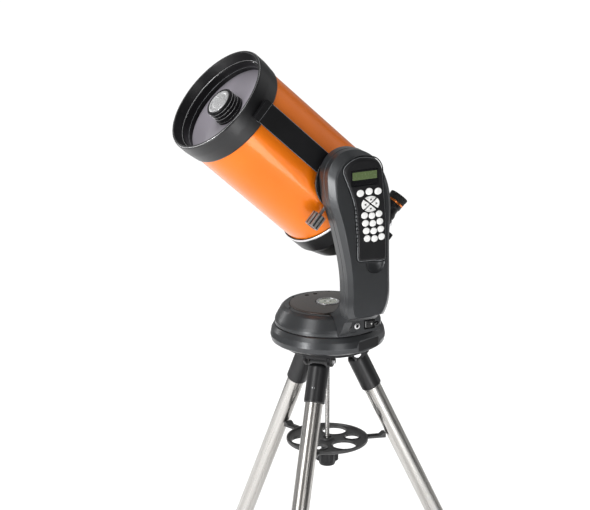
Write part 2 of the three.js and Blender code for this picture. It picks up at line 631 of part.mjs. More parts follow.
function buildOptics() {
  const tube = ring(TUBE_R, TUBE_R - TUBE_WALL, TUBE_REAR, TUBE_FRONT, FACETS.large);
  add(optics, 'optical_tube', tube, ORANGE);
  add(optics, 'front_cell', turned([
    [CELL_R - 4.8, CELL_REAR], [CELL_R - 3.4, CELL_REAR + 3], [CELL_R - 0.6, 238], [CELL_R, 244],
    [CELL_R, CELL_FRONT - 3], [CELL_R - 1.6, CELL_FRONT], [113.5, CELL_FRONT],
    [CORRECTOR_R + 1.3, RETAINER_FRONT + 1], [CORRECTOR_R + 0.8, CORRECTOR_SEAT - GAP],
    [100, CORRECTOR_SEAT - GAP], [100, TUBE_FRONT + GAP], [TUBE_R + GAP, TUBE_FRONT + GAP],
    [TUBE_R + GAP, CELL_REAR], [CELL_R - 4.8, CELL_REAR],
  ], FACETS.large), BLACK);
  const top = CORRECTOR_SEAT + CORRECTOR_THICK;
  const plate = ring(CORRECTOR_R, SECONDARY_NECK_R + 0.5, CORRECTOR_SEAT, top, FACETS.large);
  add(optics, 'corrector_plate', plate, GLASS);
  add(optics, 'corrector_retainer', turned([
    [102, top + GAP], [CORRECTOR_R, top + GAP], [CORRECTOR_R, RETAINER_FRONT],
    [104.4, RETAINER_FRONT], [102.8, 240], [102.8, 232], [102, top + GAP],
  ], FACETS.large), BLACK);
  add(optics, 'secondary_housing', turned([
    [0, 208], [SECONDARY_NECK_R, 208], [SECONDARY_NECK_R, top + GAP],
    [SECONDARY_R + 1.5, top + GAP],
    [SECONDARY_R + 1.5, 233], [SECONDARY_R, 235], [SECONDARY_R, 259.5],
    [SECONDARY_R - 1.5, SECONDARY_FRONT], [0, SECONDARY_FRONT],
  ], FACETS.medium), BLACK);
  add(optics, 'secondary_mirror', turned([
    [0, 195], [16, 194.2], [28, 192.5], [31, 192.5], [31, 207.7], [0, 207.7],
  ], FACETS.medium), MIRROR);
  add(optics, 'primary_mirror', turned([
    [BAFFLE_R + 4, MIRROR_BACK], [80, MIRROR_BACK], [MIRROR_R, MIRROR_BACK + 9],
    [MIRROR_R, MIRROR_BACK + 24], [70, MIRROR_BACK + 19.6], [BAFFLE_R + 4, MIRROR_BACK + 17.4],
    [BAFFLE_R + 4, MIRROR_BACK],
  ], FACETS.large), MIRROR);
  add(optics, 'baffle_tube', turned([
    [18, -145.6], [34, -145.6], [34, -141], [BAFFLE_R, -135], [BAFFLE_R, -30], [18.5, 80],
    [17, 80], [18, -30], [18, -145.6],
  ], FACETS.small), BLACK);
  const cellBody = turned([
    [TUBE_R + GAP, REAR_CELL_RIM], [REAR_CELL_R - 1.2, REAR_CELL_RIM],
    [REAR_CELL_R, REAR_CELL_RIM - 2], [REAR_CELL_R - 1, -103], [REAR_CELL_R - 4, -108],
    [103, -142], [98, -149], [90, REAR_FACE], [BACK_PORT_R - 4, REAR_FACE],
    [BACK_PORT_R - 4, -146], [88, -146], [96, -138], [106, -108], [108, -100],
    [108, TUBE_REAR - GAP], [TUBE_R + GAP, TUBE_REAR - GAP], [TUBE_R + GAP, REAR_CELL_RIM],
  ], FACETS.large);
  const focusBore = rod(4.3, -160, -130, FACETS.tiny).translate(FOCUS.x, FOCUS.t, 0);
  add(optics, 'rear_cell', cut(cellBody, focusBore), BLACK);
  const knob = lobed(FOCUS.r, 1.6, 12, REAR_FACE - GAP - FOCUS.length, REAR_FACE - GAP);
  const stem = rod(4, REAR_FACE - 2, -127, FACETS.tiny);
  add(optics, 'focus_knob', fuse(knob, stem).translate(FOCUS.x, FOCUS.t, 0), BLACK);

  add(optics, 'visual_back', turned([
    [DIAGONAL_BARREL_R + GAP, REAR_FACE - GAP], [25, REAR_FACE - GAP], [25, -159], [22, -162],
    [22, -166], [24, -168], [24, VISUAL_BACK_REAR + 2], [23, VISUAL_BACK_REAR],
    [DIAGONAL_BARREL_R + GAP, VISUAL_BACK_REAR], [DIAGONAL_BARREL_R + GAP, REAR_FACE - GAP],
  ], FACETS.medium), BLACK);

  // Side view of the mirror housing: a square block with its rear corner cut.
  const half = 21;
  const block = prismX([
    [-half, -187], [half + 4, -187], [half + 4, -247], [12, -247], [-half, -214],
  ], -half, half);
  const barrel = rod(DIAGONAL_BARREL_R, -188, -146, FACETS.small);
  const socket = turned([[0, half + 3], [19.5, half + 3], [19.5, 47], [0, 47]], FACETS.small)
    .rotateX(-Math.PI / 2).translate(0, 0, EYEPIECE_AXIS);
  const socketBore = rod(DIAGONAL_BARREL_R + GAP, 12, 60, FACETS.small)
    .rotateX(-Math.PI / 2).translate(0, 0, EYEPIECE_AXIS);
  const lightBore = rod(12, EYEPIECE_AXIS, -140, FACETS.small);
  add(optics, 'star_diagonal', cut(fuse(block, barrel, socket), socketBore, lightBore), BLACK);

  const eyepiece = turned([
    [11, 22], [15.6, 22], [15.6, 47 + GAP], [18, 47 + GAP], [18, 60], [16.5, 63], [16.5, 72],
    [19, 76], [19, 92], [20.5, 95], [20.5, EYEPIECE_TOP], [18, EYEPIECE_TOP], [12, 94], [11, 22],
  ], FACETS.medium).rotateX(-Math.PI / 2).translate(0, 0, EYEPIECE_AXIS);
  add(optics, 'eyepiece', eyepiece, BLACK);
}

// ------------------------------------------------------------------ assembly
buildBase();
buildTray();
[1, 2, 3].forEach(buildLeg);
buildTurntable();
buildArm();
buildHandset();
buildClamp();
buildBar();
buildOptics();

const telescope = new THREE.Group();
telescope.add(model);
telescope.updateMatrixWorld(true);
const bounds = new THREE.Box3().setFromObject(model, true);
const middle = bounds.getCenter(new THREE.Vector3());
model.position.set(-middle.x, -middle.y, -bounds.min.z);

export default telescope;
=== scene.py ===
"""Looks of the Schmidt-Cassegrain telescope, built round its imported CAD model.

Shapes are given in millimetres in a few local frames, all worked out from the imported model:
WORK has the azimuth axis at x = y = 0 and z = 0 at the seam under the turntable, HUB has its Z
along the tube and X along the altitude axis, TUBE is HUB moved down to the tube's own axis, and
leg_frame(1..3) has Z up one leg from its hinge.
"""
from math import atan2, cos, pi, radians, sin

import bmesh
import bpy
from mathutils import Matrix, Vector


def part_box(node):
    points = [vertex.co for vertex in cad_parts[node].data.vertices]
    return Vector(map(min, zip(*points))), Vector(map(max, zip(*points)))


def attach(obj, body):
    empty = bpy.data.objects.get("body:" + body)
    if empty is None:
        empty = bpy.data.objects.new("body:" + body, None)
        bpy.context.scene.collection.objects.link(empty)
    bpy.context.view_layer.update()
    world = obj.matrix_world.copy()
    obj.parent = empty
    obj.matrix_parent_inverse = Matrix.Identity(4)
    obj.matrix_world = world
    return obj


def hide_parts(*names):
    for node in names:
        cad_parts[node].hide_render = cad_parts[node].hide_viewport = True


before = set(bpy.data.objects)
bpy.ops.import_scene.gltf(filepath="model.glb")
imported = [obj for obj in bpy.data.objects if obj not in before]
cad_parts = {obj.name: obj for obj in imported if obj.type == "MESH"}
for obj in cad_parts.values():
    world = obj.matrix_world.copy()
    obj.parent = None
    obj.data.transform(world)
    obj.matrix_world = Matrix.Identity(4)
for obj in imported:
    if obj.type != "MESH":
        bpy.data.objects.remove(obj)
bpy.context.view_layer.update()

# ------------ dimensions, in millimetres and degrees
MM = 0.001
ALTITUDE = 42            # the tube's rise above the horizon at rest
PIVOT = (0, -40, 339)    # a point of the altitude axis
AXIS_DROP = 24           # from the altitude axis down to the tube's axis
LEG_AZIMUTH = 44.6
LEG_SPLAY = 25.6
HINGE = (0, -56.9, -66)  # a leg's hinge, before its turn about Z
WIDE = 160               # facets round a tube-sized circle
NARROW = 48              # facets round a small one


def at(x, y, z):
    return Matrix.Translation((x, y, z))


def spin(axis, degrees):
    return Matrix.Rotation(radians(degrees), 4, axis)


def find_working_frame():
    """Millimetre frame on the azimuth axis, at the seam between turntable and base."""
    rod_low, rod_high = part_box("centre_rod")
    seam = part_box("lower_base")[1].z + 0.3 * MM
    middle = (rod_low + rod_high) / 2
    return at(middle.x, middle.y, seam) @ Matrix.Scale(MM, 4)


WORK = find_working_frame()
HUB = WORK @ at(*PIVOT) @ spin("X", 90 - ALTITUDE)
TUBE = HUB @ at(0, -AXIS_DROP, 0)
TURN_X = spin("Y", 90)      # local Z to +X
TURN_Y = spin("X", -90)     # local Z to +Y
FLIP = spin("X", 180)       # local Z to -Z


def around(number, count, shift=0.5):
    """Turn about Z to one of several evenly spaced places."""
    return Matrix.Rotation(2 * pi * (number + shift) / count, 4, "Z")


def leg_turn(number):
    return spin("Z", LEG_AZIMUTH + 120 * (number - 1))


def leg_frame(number):
    return WORK @ leg_turn(number) @ at(*HINGE) @ spin("X", -LEG_SPLAY)


def new_object(name, data):
    thing = bpy.data.objects.new(name, data)
    bpy.context.scene.collection.objects.link(thing)
    return thing


# ------------ camera
def add_camera():
    azimuth = radians(62.13)
    rise = radians(15.93)
    back = Vector((sin(azimuth) * cos(rise), -cos(azimuth) * cos(rise), sin(rise)))
    right = Vector((cos(azimuth), sin(azimuth), 0))
    up = back.cross(right)
    aside, aim_height, distance = -68.79, 145.05, 4500
    target = right * aside + Vector((0, 0, aim_height))
    data = bpy.data.cameras.new("camera")
    data.sensor_fit = "HORIZONTAL"
    data.lens = 131.96
    data.clip_end = 50
    camera = new_object("camera", data)
    pose = Matrix((right, up, back)).transposed().to_4x4()
    pose.translation = WORK @ (target + back * distance)
    camera.matrix_world = pose
    bpy.context.scene.camera = camera


add_camera()


# ------------ materials
def nodes_of(name):
    material = bpy.data.materials.new(name)
    material.use_nodes = True
    tree = material.node_tree
    return material, tree, tree.nodes["Principled BSDF"]


def put(node, **values):
    """Set a node's own sockets; a space in a socket's name is written as an underscore."""
    for name, value in values.items():
        node.inputs[name.replace("_", " ")].default_value = value


def add(tree, kind, **values):
    node = tree.nodes.new("ShaderNode" + kind)
    put(node, **values)
    return node


def noise(tree, scale, detail=3, stretch=(1, 1, 1), turn=(0, 0, 0)):
    """Noise in metres of the object, stretched along an axis of a turned frame."""
    coordinates = add(tree, "TexCoord")
    mapping = add(tree, "Mapping", Rotation=turn, Scale=stretch)
    mapping.vector_type = "TEXTURE"
    texture = add(tree, "TexNoise", Scale=scale, Detail=detail)
    tree.links.new(coordinates.outputs["Object"], mapping.inputs["Vector"])
    tree.links.new(mapping.outputs["Vector"], texture.inputs["Vector"])
    return texture.outputs["Fac"]


def ramp(tree, source, low, high, stops):
    node = add(tree, "ValToRGB")
    for element, place, stop in zip(node.color_ramp.elements, (low, high), stops):
        element.position = place
        element.color = (*stop, 1)
    tree.links.new(source, node.inputs["Fac"])
    return node.outputs["Color"]


def spread(tree, source, low, high):
    node = add(tree, "MapRange", From_Min=0.3, From_Max=0.7, To_Min=low, To_Max=high)
    tree.links.new(source, node.inputs["Value"])
    return node.outputs["Result"]


def bump(tree, shader, source, height):
    node = add(tree, "Bump", Distance=height)
    tree.links.new(source, node.inputs["Height"])
    tree.links.new(node.outputs["Normal"], shader.inputs["Normal"])


def surface(name, dark, light, rough, metallic=0, coat=0, coat_rough=0.05, grain=600, relief=2e-5,
        cloud=9, stretch=(1, 1, 1), turn=(0, 0, 0), specular=0.5):
    """A surface whose colour drifts between two tones, with grain in its gloss and relief."""
    material, tree, shader = nodes_of(name)
    put(shader, Metallic=metallic, Coat_Weight=coat, Coat_Roughness=coat_rough,
        Specular_IOR_Level=specular)
    broad = noise(tree, cloud, 4, stretch, turn)
    fine = noise(tree, grain, 2, stretch, turn)
    tree.links.new(ramp(tree, broad, 0.3, 0.7, (dark, light)), shader.inputs["Base Color"])
    tree.links.new(spread(tree, fine, *rough), shader.inputs["Roughness"])
    bump(tree, shader, fine, relief)
    return material


def flake_paint():
    """Metallic orange lacquer: fine bright flakes under a clear coat."""
    material, tree, shader = nodes_of("orange_lacquer")
    put(shader, Metallic=0.2, Coat_Weight=0.5, Coat_Roughness=0.08, Specular_IOR_Level=0.12)
    flakes = noise(tree, 1800, 1)
    broad = noise(tree, 6, 2)
    base = ramp(tree, broad, 0.3, 0.7, ((0.72, 0.15, 0.0015), (0.77, 0.168, 0.003)))
    glint = ramp(tree, flakes, 0.55, 0.75, ((0, 0, 0), (0.04, 0.015, 0.002)))
    mix = add(tree, "Mix", Factor=1)
    mix.data_type = "RGBA"
    mix.blend_type = "ADD"
    tree.links.new(base, mix.inputs[6])
    tree.links.new(glint, mix.inputs[7])
    tree.links.new(mix.outputs[2], shader.inputs["Base Color"])
    tree.links.new(spread(tree, flakes, 0.26, 0.36), shader.inputs["Roughness"])
    return material


def display_glass():
    """Green reflective display: fine cell rows under a glossy pane."""
    material, tree, shader = nodes_of("display_green")
    put(shader, Coat_Weight=0.7, Coat_Roughness=0.05)
    coordinates = add(tree, "TexCoord")
    rows = add(tree, "TexWave", Scale=190)
    rows.bands_direction = "Z"
    tree.links.new(coordinates.outputs["Object"], rows.inputs["Vector"])
    greens = ((0.085, 0.12, 0.05), (0.115, 0.16, 0.065))
    shade = ramp(tree, rows.outputs["Fac"], 0.1, 0.9, greens)
    tree.links.new(shade, shader.inputs["Base Color"])
    tree.links.new(spread(tree, noise(tree, 300), 0.2, 0.3), shader.inputs["Roughness"])
    return material


def drawn_steel(number):
    """Drawn stainless tube: fine streaks run along the leg it belongs to."""
    turn = leg_frame(number).to_euler()
    return surface(f"drawn_steel_{number}", (0.34, 0.325, 0.305), (0.66, 0.645, 0.625),
        (0.2, 0.34), metallic=1, grain=900, relief=4e-6, cloud=75, stretch=(1, 1, 60), turn=turn)


LOOKS = {  # look: (slot of the part, material)
    "orange": ("orange_paint", flake_paint()),
    "charcoal": ("charcoal_paint", surface("charcoal_paint", (0.03, 0.032, 0.034),
        (0.038, 0.04, 0.043), (0.3, 0.4), metallic=0.45, coat=0.25, coat_rough=0.22, grain=1500,
        relief=3e-5)),
    "satin": ("black_paint", surface("black_satin_paint", (0.006, 0.006, 0.0065),
        (0.01, 0.01, 0.011), (0.28, 0.4), metallic=0.1, grain=1600, relief=3e-5, specular=0.2)),
    "matte": ("black_paint", surface("black_flocked", (0.01, 0.01, 0.011), (0.016, 0.016, 0.017),
        (0.62, 0.8), grain=2200, relief=8e-5, specular=0.3)),
    "gloss": ("black_plastic", surface("black_gloss_moulding", (0.005, 0.005, 0.006),
        (0.009, 0.009, 0.01), (0.1, 0.18), coat=0.3, grain=500, relief=1e-5)),
    "plastic": ("black_plastic", surface("black_moulding", (0.006, 0.006, 0.007),
        (0.01, 0.01, 0.011), (0.34, 0.46), grain=1800, relief=4e-5, specular=0.26)),
    "cell": ("black_paint", surface("front_cell_paint", (0.01, 0.01, 0.011),
        (0.015, 0.015, 0.016), (0.32, 0.42), metallic=0.25, coat=0.1, coat_rough=0.2, grain=1700,
        relief=3e-5)),
    "steel": ("polished_steel", surface("polished_steel", (0.4, 0.395, 0.39), (0.62, 0.61, 0.6),
        (0.16, 0.26), metallic=1, grain=700, relief=4e-6, cloud=120, stretch=(1, 1, 30))),
    "silver": ("silver_metal", surface("satin_silver", (0.62, 0.62, 0.63), (0.76, 0.76, 0.77),
        (0.24, 0.36), metallic=0.85, grain=900, relief=1e-5)),
    # corrector: opaque, its grey-purple base colour is a painted reflection of the room in the
    # coated glass
    "corrector": ("lens_glass", surface("corrector_painted_reflection", (0.215, 0.2, 0.228),
        (0.25, 0.235, 0.262), (0.38, 0.46), coat=0.25, coat_rough=0.12, grain=40, relief=0,
        cloud=5, specular=0.3)),
    "mirror": ("mirror_coat", surface("mirror_coating", (0.86, 0.87, 0.88), (0.92, 0.92, 0.93),
        (0.02, 0.05), metallic=1, grain=60, relief=0)),
    "white_key": ("white_key", surface("white_key_rubber", (0.8, 0.8, 0.785), (0.88, 0.88, 0.865),
        (0.34, 0.46), grain=1400, relief=2e-5, cloud=120)),
    "machined": ("silver_metal", surface("machined_knob", (0.22, 0.215, 0.21), (0.42, 0.41, 0.4),
        (0.24, 0.36), metallic=1, grain=1300, relief=2e-5, cloud=200)),
    "display": ("display", display_glass()),
    "lid": ("brown_lid", surface("lid_moulding", (0.045, 0.037, 0.033), (0.062, 0.052, 0.047),
        (0.28, 0.4), coat=0.1, coat_rough=0.2, grain=1500, relief=4e-5)),
    "tray": ("tray_plastic", surface("tray_moulding", (0.03, 0.03, 0.031), (0.043, 0.042, 0.042),
        (0.38, 0.5), grain=1300, relief=6e-5)),
    "rubber": ("black_plastic", surface("foot_rubber", (0.008, 0.008, 0.008),
        (0.016, 0.016, 0.015), (0.7, 0.85), grain=1200, relief=1e-4, specular=0.3)),
    "copper": ("orange_paint", surface("copper_band", (0.62, 0.16, 0.03), (0.72, 0.22, 0.05),
        (0.18, 0.28), metallic=0.8, grain=900, relief=1e-5)),
    "lens": ("lens_glass", surface("coated_lens", (0.02, 0.035, 0.045), (0.03, 0.05, 0.07),
        (0.02, 0.05), coat=1, coat_rough=0.02, grain=30, relief=0, specular=0.9)),
    "vial": ("lens_glass", surface("vial_fluid", (0.42, 0.46, 0.38), (0.6, 0.64, 0.54),
        (0.05, 0.1), coat=1, coat_rough=0.02, grain=60, relief=0, cloud=60)),
    # painted highlight: a light grey line laid along dark edges where light catches them
    "highlight_line": ("charcoal_paint", surface("painted_edge_highlight", (0.2, 0.21, 0.22),
        (0.3, 0.31, 0.32), (0.3, 0.4), metallic=0.4, grain=1200, relief=2e-5)),
    "zinc": ("silver_metal", surface("zinc_screw", (0.42, 0.42, 0.43), (0.6, 0.6, 0.6),
        (0.24, 0.38), metallic=1, grain=1500, relief=2e-5, cloud=60)),
    **{f"drawn_steel_{number}": ("polished_steel", drawn_steel(number)) for number in (1, 2, 3)},
}


# ------------ mesh tools
def rounded(points, radius, closed=True, steps=4):
    """A polyline with each corner replaced by a short curve."""
    points = [Vector(p) for p in points]
    count = len(points)
    result = []
    for i, corner in enumerate(points):
        if not closed and i in (0, count - 1):
            result.append(corner)
            continue
        before = points[i - 1] - corner
        after = points[(i + 1) % count] - corner
        reach = min(radius, 0.48 * before.length, 0.48 * after.length)
        turn = before.angle(after, pi)
        if reach < 0.01 or pi - turn < 0.12:
            result.append(corner)
            continue
        start = corner + before.normalized() * reach
        end = corner + after.normalized() * reach
        for step in range(steps + 1):
            t = step / steps
            result.append(start * (1 - t) ** 2 + corner * 2 * t * (1 - t) + end * t * t)
    return result


def smooth_outline(points, count):
    """Closed centripetal curve through a few points, evenly sampled in its parameter."""
    points = [Vector(p) for p in points]
    number = len(points)
    result = []
    for i in range(count):
        place = i / count * number
        k = int(place)
        t = place - k
        p0, p1, p2, p3 = (points[(k + j - 1) % number] for j in range(4))
        gaps = [max((b - a).length ** 0.5, 1e-6) for a, b in ((p0, p1), (p1, p2), (p2, p3))]
        tangent1 = ((p1 - p0) / gaps[0] - (p2 - p0) / (gaps[0] + gaps[1])
            + (p2 - p1) / gaps[1]) * gaps[1]
        tangent2 = ((p2 - p1) / gaps[1] - (p3 - p1) / (gaps[1] + gaps[2])
            + (p3 - p2) / gaps[2]) * gaps[1]
        result.append(p1 * (2 * t ** 3 - 3 * t ** 2 + 1) + tangent1 * (t ** 3 - 2 * t ** 2 + t)
            + p2 * (3 * t ** 2 - 2 * t ** 3) + tangent2 * (t ** 3 - t ** 2))
    return result


def inset(outline, distance):
    """A counter-clockwise outline moved inwards along its own normals."""
    count = len(outline)
    result = []
    for i, point in enumerate(outline):
        along = outline[(i + 1) % count] - outline[i - 1]
        along.normalize()
        result.append(point + Vector((-along.y, along.x)) * distance)
    return result


def insets(outline, steps):
    """Sections (x, outline) for a loft, from pairs of x and inset."""
    return [(x, inset(outline, distance)) for x, distance in steps]


def shrinks(outline, steps):
    return [(x, shrink(outline, distance)) for x, distance in steps]


def shrink(outline, distance):
    """An outline drawn in towards the middle of its box, so that it never folds."""
    xs = [p.x for p in outline]
    ys = [p.y for p in outline]
    middle = Vector(((min(xs) + max(xs)) / 2, (min(ys) + max(ys)) / 2))
    kx = 1 - 2 * distance / (max(xs) - min(xs))
    ky = 1 - 2 * distance / (max(ys) - min(ys))
    return [middle + Vector(((p.x - middle.x) * kx, (p.y - middle.y) * ky)) for p in outline]


def rect(x0, x1, y0, y1):
    return [(x0, y0), (x1, y0), (x1, y1), (x0, y1)]


def circle(x, y, rx, ry=None, count=40):
    ry = rx if ry is None else ry
    angles = [2 * pi * i / count for i in range(count)]
    return [Vector((x + rx * cos(a), y + ry * sin(a))) for a in angles]


def face_outwards(mesh):
    """Turn the faces of one closed shell outwards."""
    bmesh.ops.recalc_face_normals(mesh, faces=mesh.faces)
    if mesh.calc_volume(signed=True) < 0:
        bmesh.ops.reverse_faces(mesh, faces=mesh.faces)
    return mesh


def lathe(profile, segments, closed=False):
    """Turned solid about Z from (radius, height) points."""
    mesh = bmesh.new()
    rings = []
    for radius, height in profile:
        if abs(radius) < 1e-5:
            rings.append([mesh.verts.new((0, 0, height))])
            continue
        angles = [2 * pi * i / segments for i in range(segments)]
        rings.append([mesh.verts.new((radius * cos(a), radius * sin(a), height)) for a in angles])
    pairs = list(zip(rings, rings[1:] + rings[:1] if closed else rings[1:]))
    for low, high in pairs:
        for i in range(segments):
            j = (i + 1) % segments
            corners = [low[i % len(low)], low[j % len(low)], high[j % len(high)],
                high[i % len(high)]]
            unique = list(dict.fromkeys(corners))
            if len(unique) > 2:
                mesh.faces.new(unique)
    return face_outwards(mesh)


def hoop(profile, radius, segments):
    """Turned ring with rounded corners, from a closed profile."""
    return lathe(rounded(profile, radius) if radius else profile, segments, closed=True)


def turned(profile, radius, segments, steps=4):
    """Turned solid with rounded corners, from a profile that starts and ends on the axis."""
    return lathe(rounded(profile, radius, False, steps), segments)


def skin(loops, cap=True):
    """Skin through loops of equally many 3-D points, with flat ends."""
    mesh = bmesh.new()
    rows = [[mesh.verts.new(p) for p in loop] for loop in loops]
    count = len(rows[0])
    for low, high in zip(rows, rows[1:]):
        for i in range(count):
            j = (i + 1) % count
            mesh.faces.new((low[i], low[j], high[j], high[i]))
    if cap:
        mesh.faces.new(list(reversed(rows[0])))
        mesh.faces.new(rows[-1])
    return face_outwards(mesh)


def loft_x(sections):
    """Skin through Y-Z outlines at increasing X."""
    return skin([[Vector((x, p[0], p[1])) for p in outline] for x, outline in sections])


def prism(outline, low, high):
    """Extrusion along Z."""
    return skin([[Vector((p[0], p[1], z)) for p in outline] for z in (low, high)])


def prism_x(outline, low, high):
    return loft_x([(low, outline), (high, outline)])


def prism_y(outline, low, high):
    """Extrusion along Y of an X-Z outline."""
    return skin([[Vector((p[0], y, p[1])) for p in outline] for y in (low, high)])


def block(x0, x1, y0, y1, z0, z1):
    return prism(rect(x0, x1, y0, y1), z0, z1)


def cylinder(radius, low, high, segments=NARROW, edge=0):
    """Short turned pin; an edge above 0 softens its ends."""
    profile = rect(0, radius, low, high)
    return turned(profile, edge, segments, steps=3) if edge else lathe(profile, segments)


def fluted(radius, depth, lobes, low, high, edge=1, per_lobe=12, power=1):
    """Knob with lobes or flutes round its edge and rounded ends."""
    count = lobes * per_lobe

    def ring(scale, z):
        loop = []
        for i in range(count):
            angle = 2 * pi * i / count
            wave = (0.5 - 0.5 * cos(lobes * angle)) ** power
            reach = (radius - depth * wave) * scale
            loop.append(Vector((reach * cos(angle), reach * sin(angle), z)))
        return loop

    pull = 1 - edge / radius
    mild = 1 - 0.3 * edge / radius
    return skin([ring(pull, low), ring(mild, low + 0.3 * edge), ring(1, low + edge),
        ring(1, high - edge), ring(mild, high - 0.3 * edge), ring(pull, high)])


def moved(mesh, matrix):
    mesh.transform(matrix)
    return mesh


def joined(*meshes):
    """Several loose shells in one mesh."""
    whole = bmesh.new()
    for mesh in meshes:
        data = bpy.data.meshes.new("part")
        mesh.to_mesh(data)
        mesh.free()
        whole.from_mesh(data)
        bpy.data.meshes.remove(data)
    return whole


def raw_object(name, mesh):
    data = bpy.data.meshes.new(name)
    mesh.to_mesh(data)
    mesh.free()
    return new_object(name, data)


def cut_away(thing, cutters, operation="DIFFERENCE"):
    """Boolean the cutters out of a piece, or into it, and keep the result as its mesh."""
    for cutter in cutters:
        step = thing.modifiers.new("cut", "BOOLEAN")
        step.operation = operation
        step.solver = "EXACT"
        step.object = cutter
        bpy.context.view_layer.update()
        graph = bpy.context.evaluated_depsgraph_get()
        result = bpy.data.meshes.new_from_object(thing.evaluated_get(graph))
        thing.modifiers.clear()
        old = thing.data
        thing.data = result
        bpy.data.meshes.remove(old)
        data = cutter.data
        bpy.data.objects.remove(cutter)
        bpy.data.meshes.remove(data)


def piece(name, mesh, matrix, look, body, replaces=(), bevel=0, sharp=34, cuts=(), adds=()):
    """One finished piece: mesh in millimetres of a local frame, riding on a CAD body."""
    thing = raw_object(name, mesh)
    cut_away(thing, [raw_object("add", tool) for tool in adds], "UNION")
    cut_away(thing, [raw_object("cutter", tool) for tool in cuts])
    data = thing.data
    data.transform(matrix)
    data.materials.clear()
    slot, material = LOOKS[look]
    data.materials.append(material)
    if bevel:
        soften = thing.modifiers.new("bevel", "BEVEL")
        soften.width = bevel * MM
        soften.segments = 2
        soften.limit_method = "ANGLE"
        soften.angle_limit = radians(sharp)
        soften.use_clamp_overlap = True
    for polygon in data.polygons:
        polygon.use_smooth = True
    data.set_sharp_from_angle(angle=radians(sharp))
    normals = thing.modifiers.new("normals", "WEIGHTED_NORMAL")
    normals.keep_sharp = True
    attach(thing, body)
    if replaces:
        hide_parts(*replaces)


def on(matrix, body):
    """A maker of pieces in one local frame, on one body: part(name, mesh, look, *CAD nodes)."""
    def part(name, mesh, look, *replaces, **more):
        piece(name, mesh, matrix, look, body, replaces, **more)
    return part


def screw(name, matrix, radius, height, body, look="zinc"):
    """Round-headed screw with a cross recess, its head towards +Z."""
    head = turned([(0, 0), (radius, 0), (radius, 0.45 * height), (0.72 * radius, height),
        (0, height)], 0.3 * radius, 32)
    arm, thin, deep = 0.55 * radius, 0.13 * radius, 0.45 * height
    piece(name, head, matrix, look, body, cuts=[block(-arm, arm, -thin, thin, deep, 2 * height),
        block(-thin, thin, -arm, arm, deep, 2 * height)])


def thumbscrew(name, place, stem, grip, body):
    """Knurled screw along X of a place on the tube; stem and grip are spans from its axis."""
    knurl = joined(fluted(4.2, 0.5, 16, *grip, 0.5, per_lobe=4), cylinder(2.2, *stem))
    piece(name, moved(knurl, place @ TURN_X), TUBE, "silver", body)


on_tube = on(TUBE, "tube")
on_bar = on(HUB, "tube")
on_diagonal = on(TUBE, "diagonal")
on_altitude = on(HUB, "altitude")
on_clamp_knob = on(HUB, "clamp_screw")
on_turntable = on(WORK, "turntable")
on_handset = on(WORK, "handset")
on_switch = on(WORK, "switch")
on_lid = on(WORK, "lid")
on_base = on(WORK, "base")


# ------------ optical tube
CELL_R = 119.6
CELL_FRONT = 269
FOCUS_AXIS = at(-44, -40, 0)
EYEPIECE_AXIS = at(0, 0, -215) @ TURN_Y


def build_tube():
    shell = hoop(rect(111, 113, -70, 216), 0.6, WIDE)
    on_tube("tube_shell", shell, "orange", "optical_tube")
    rim = [(115.6, -63.7), (116.5, -63.6), (117.56, -65.6), (117.5, -68.2), (116.6, -68.2)]
    on_tube("rear_rim_line", hoop(rim, 0.3, WIDE), "silver")


def build_front_cell():
    profile = [(114.8, 213.6), (116.1, 216.5), (118.8, 238), (CELL_R - 0.2, 244),
        (CELL_R - 0.2, 266), (118, CELL_FRONT), (113.6, CELL_FRONT), (108.9, 251.2),
        (108.4, 220.7), (100, 220.7), (100, 216.4), (113.3, 216.4), (113.3, 213.6)]
    on_tube("front_cell_casting", hoop(profile, 0.9, WIDE), "cell", "front_cell")
    # a thin silver ring on the cell's front lip is a painted highlight
    bright = [(119.3, 265.9), (118, 268.9), (117.4, 268.9), (118.7, 265.6)]
    on_tube("front_edge_highlight", hoop(bright, 0, WIDE), "silver")
    retainer = [(102, 226.3), (107.5, 226.3), (107.5, 250), (104.4, 250), (102.8, 240),
        (102.8, 232)]
    on_tube("retaining_ring", hoop(retainer, 1, WIDE), "satin", "corrector_retainer")
    # thin bright rings on the inner edges of the cell and the retaining ring are painted
    # highlights
    for i, (radius, height) in enumerate([(107.9, 250.3), (102.9, 236)]):
        line = [(radius - 0.45, height), (radius, height + 0.35), (radius + 0.45, height),
            (radius, height - 0.35)]
        look = ("silver", "highlight_line")[i]
        on_tube(f"inner_edge_highlight_{i + 1}", hoop(line, 0, WIDE), look)
    for i in range(6):
        place = TUBE @ around(i, 6) @ at(105.6, 0, 250)
        screw(f"retainer_screw_{i + 1}", place, 1.7, 1, "tube")


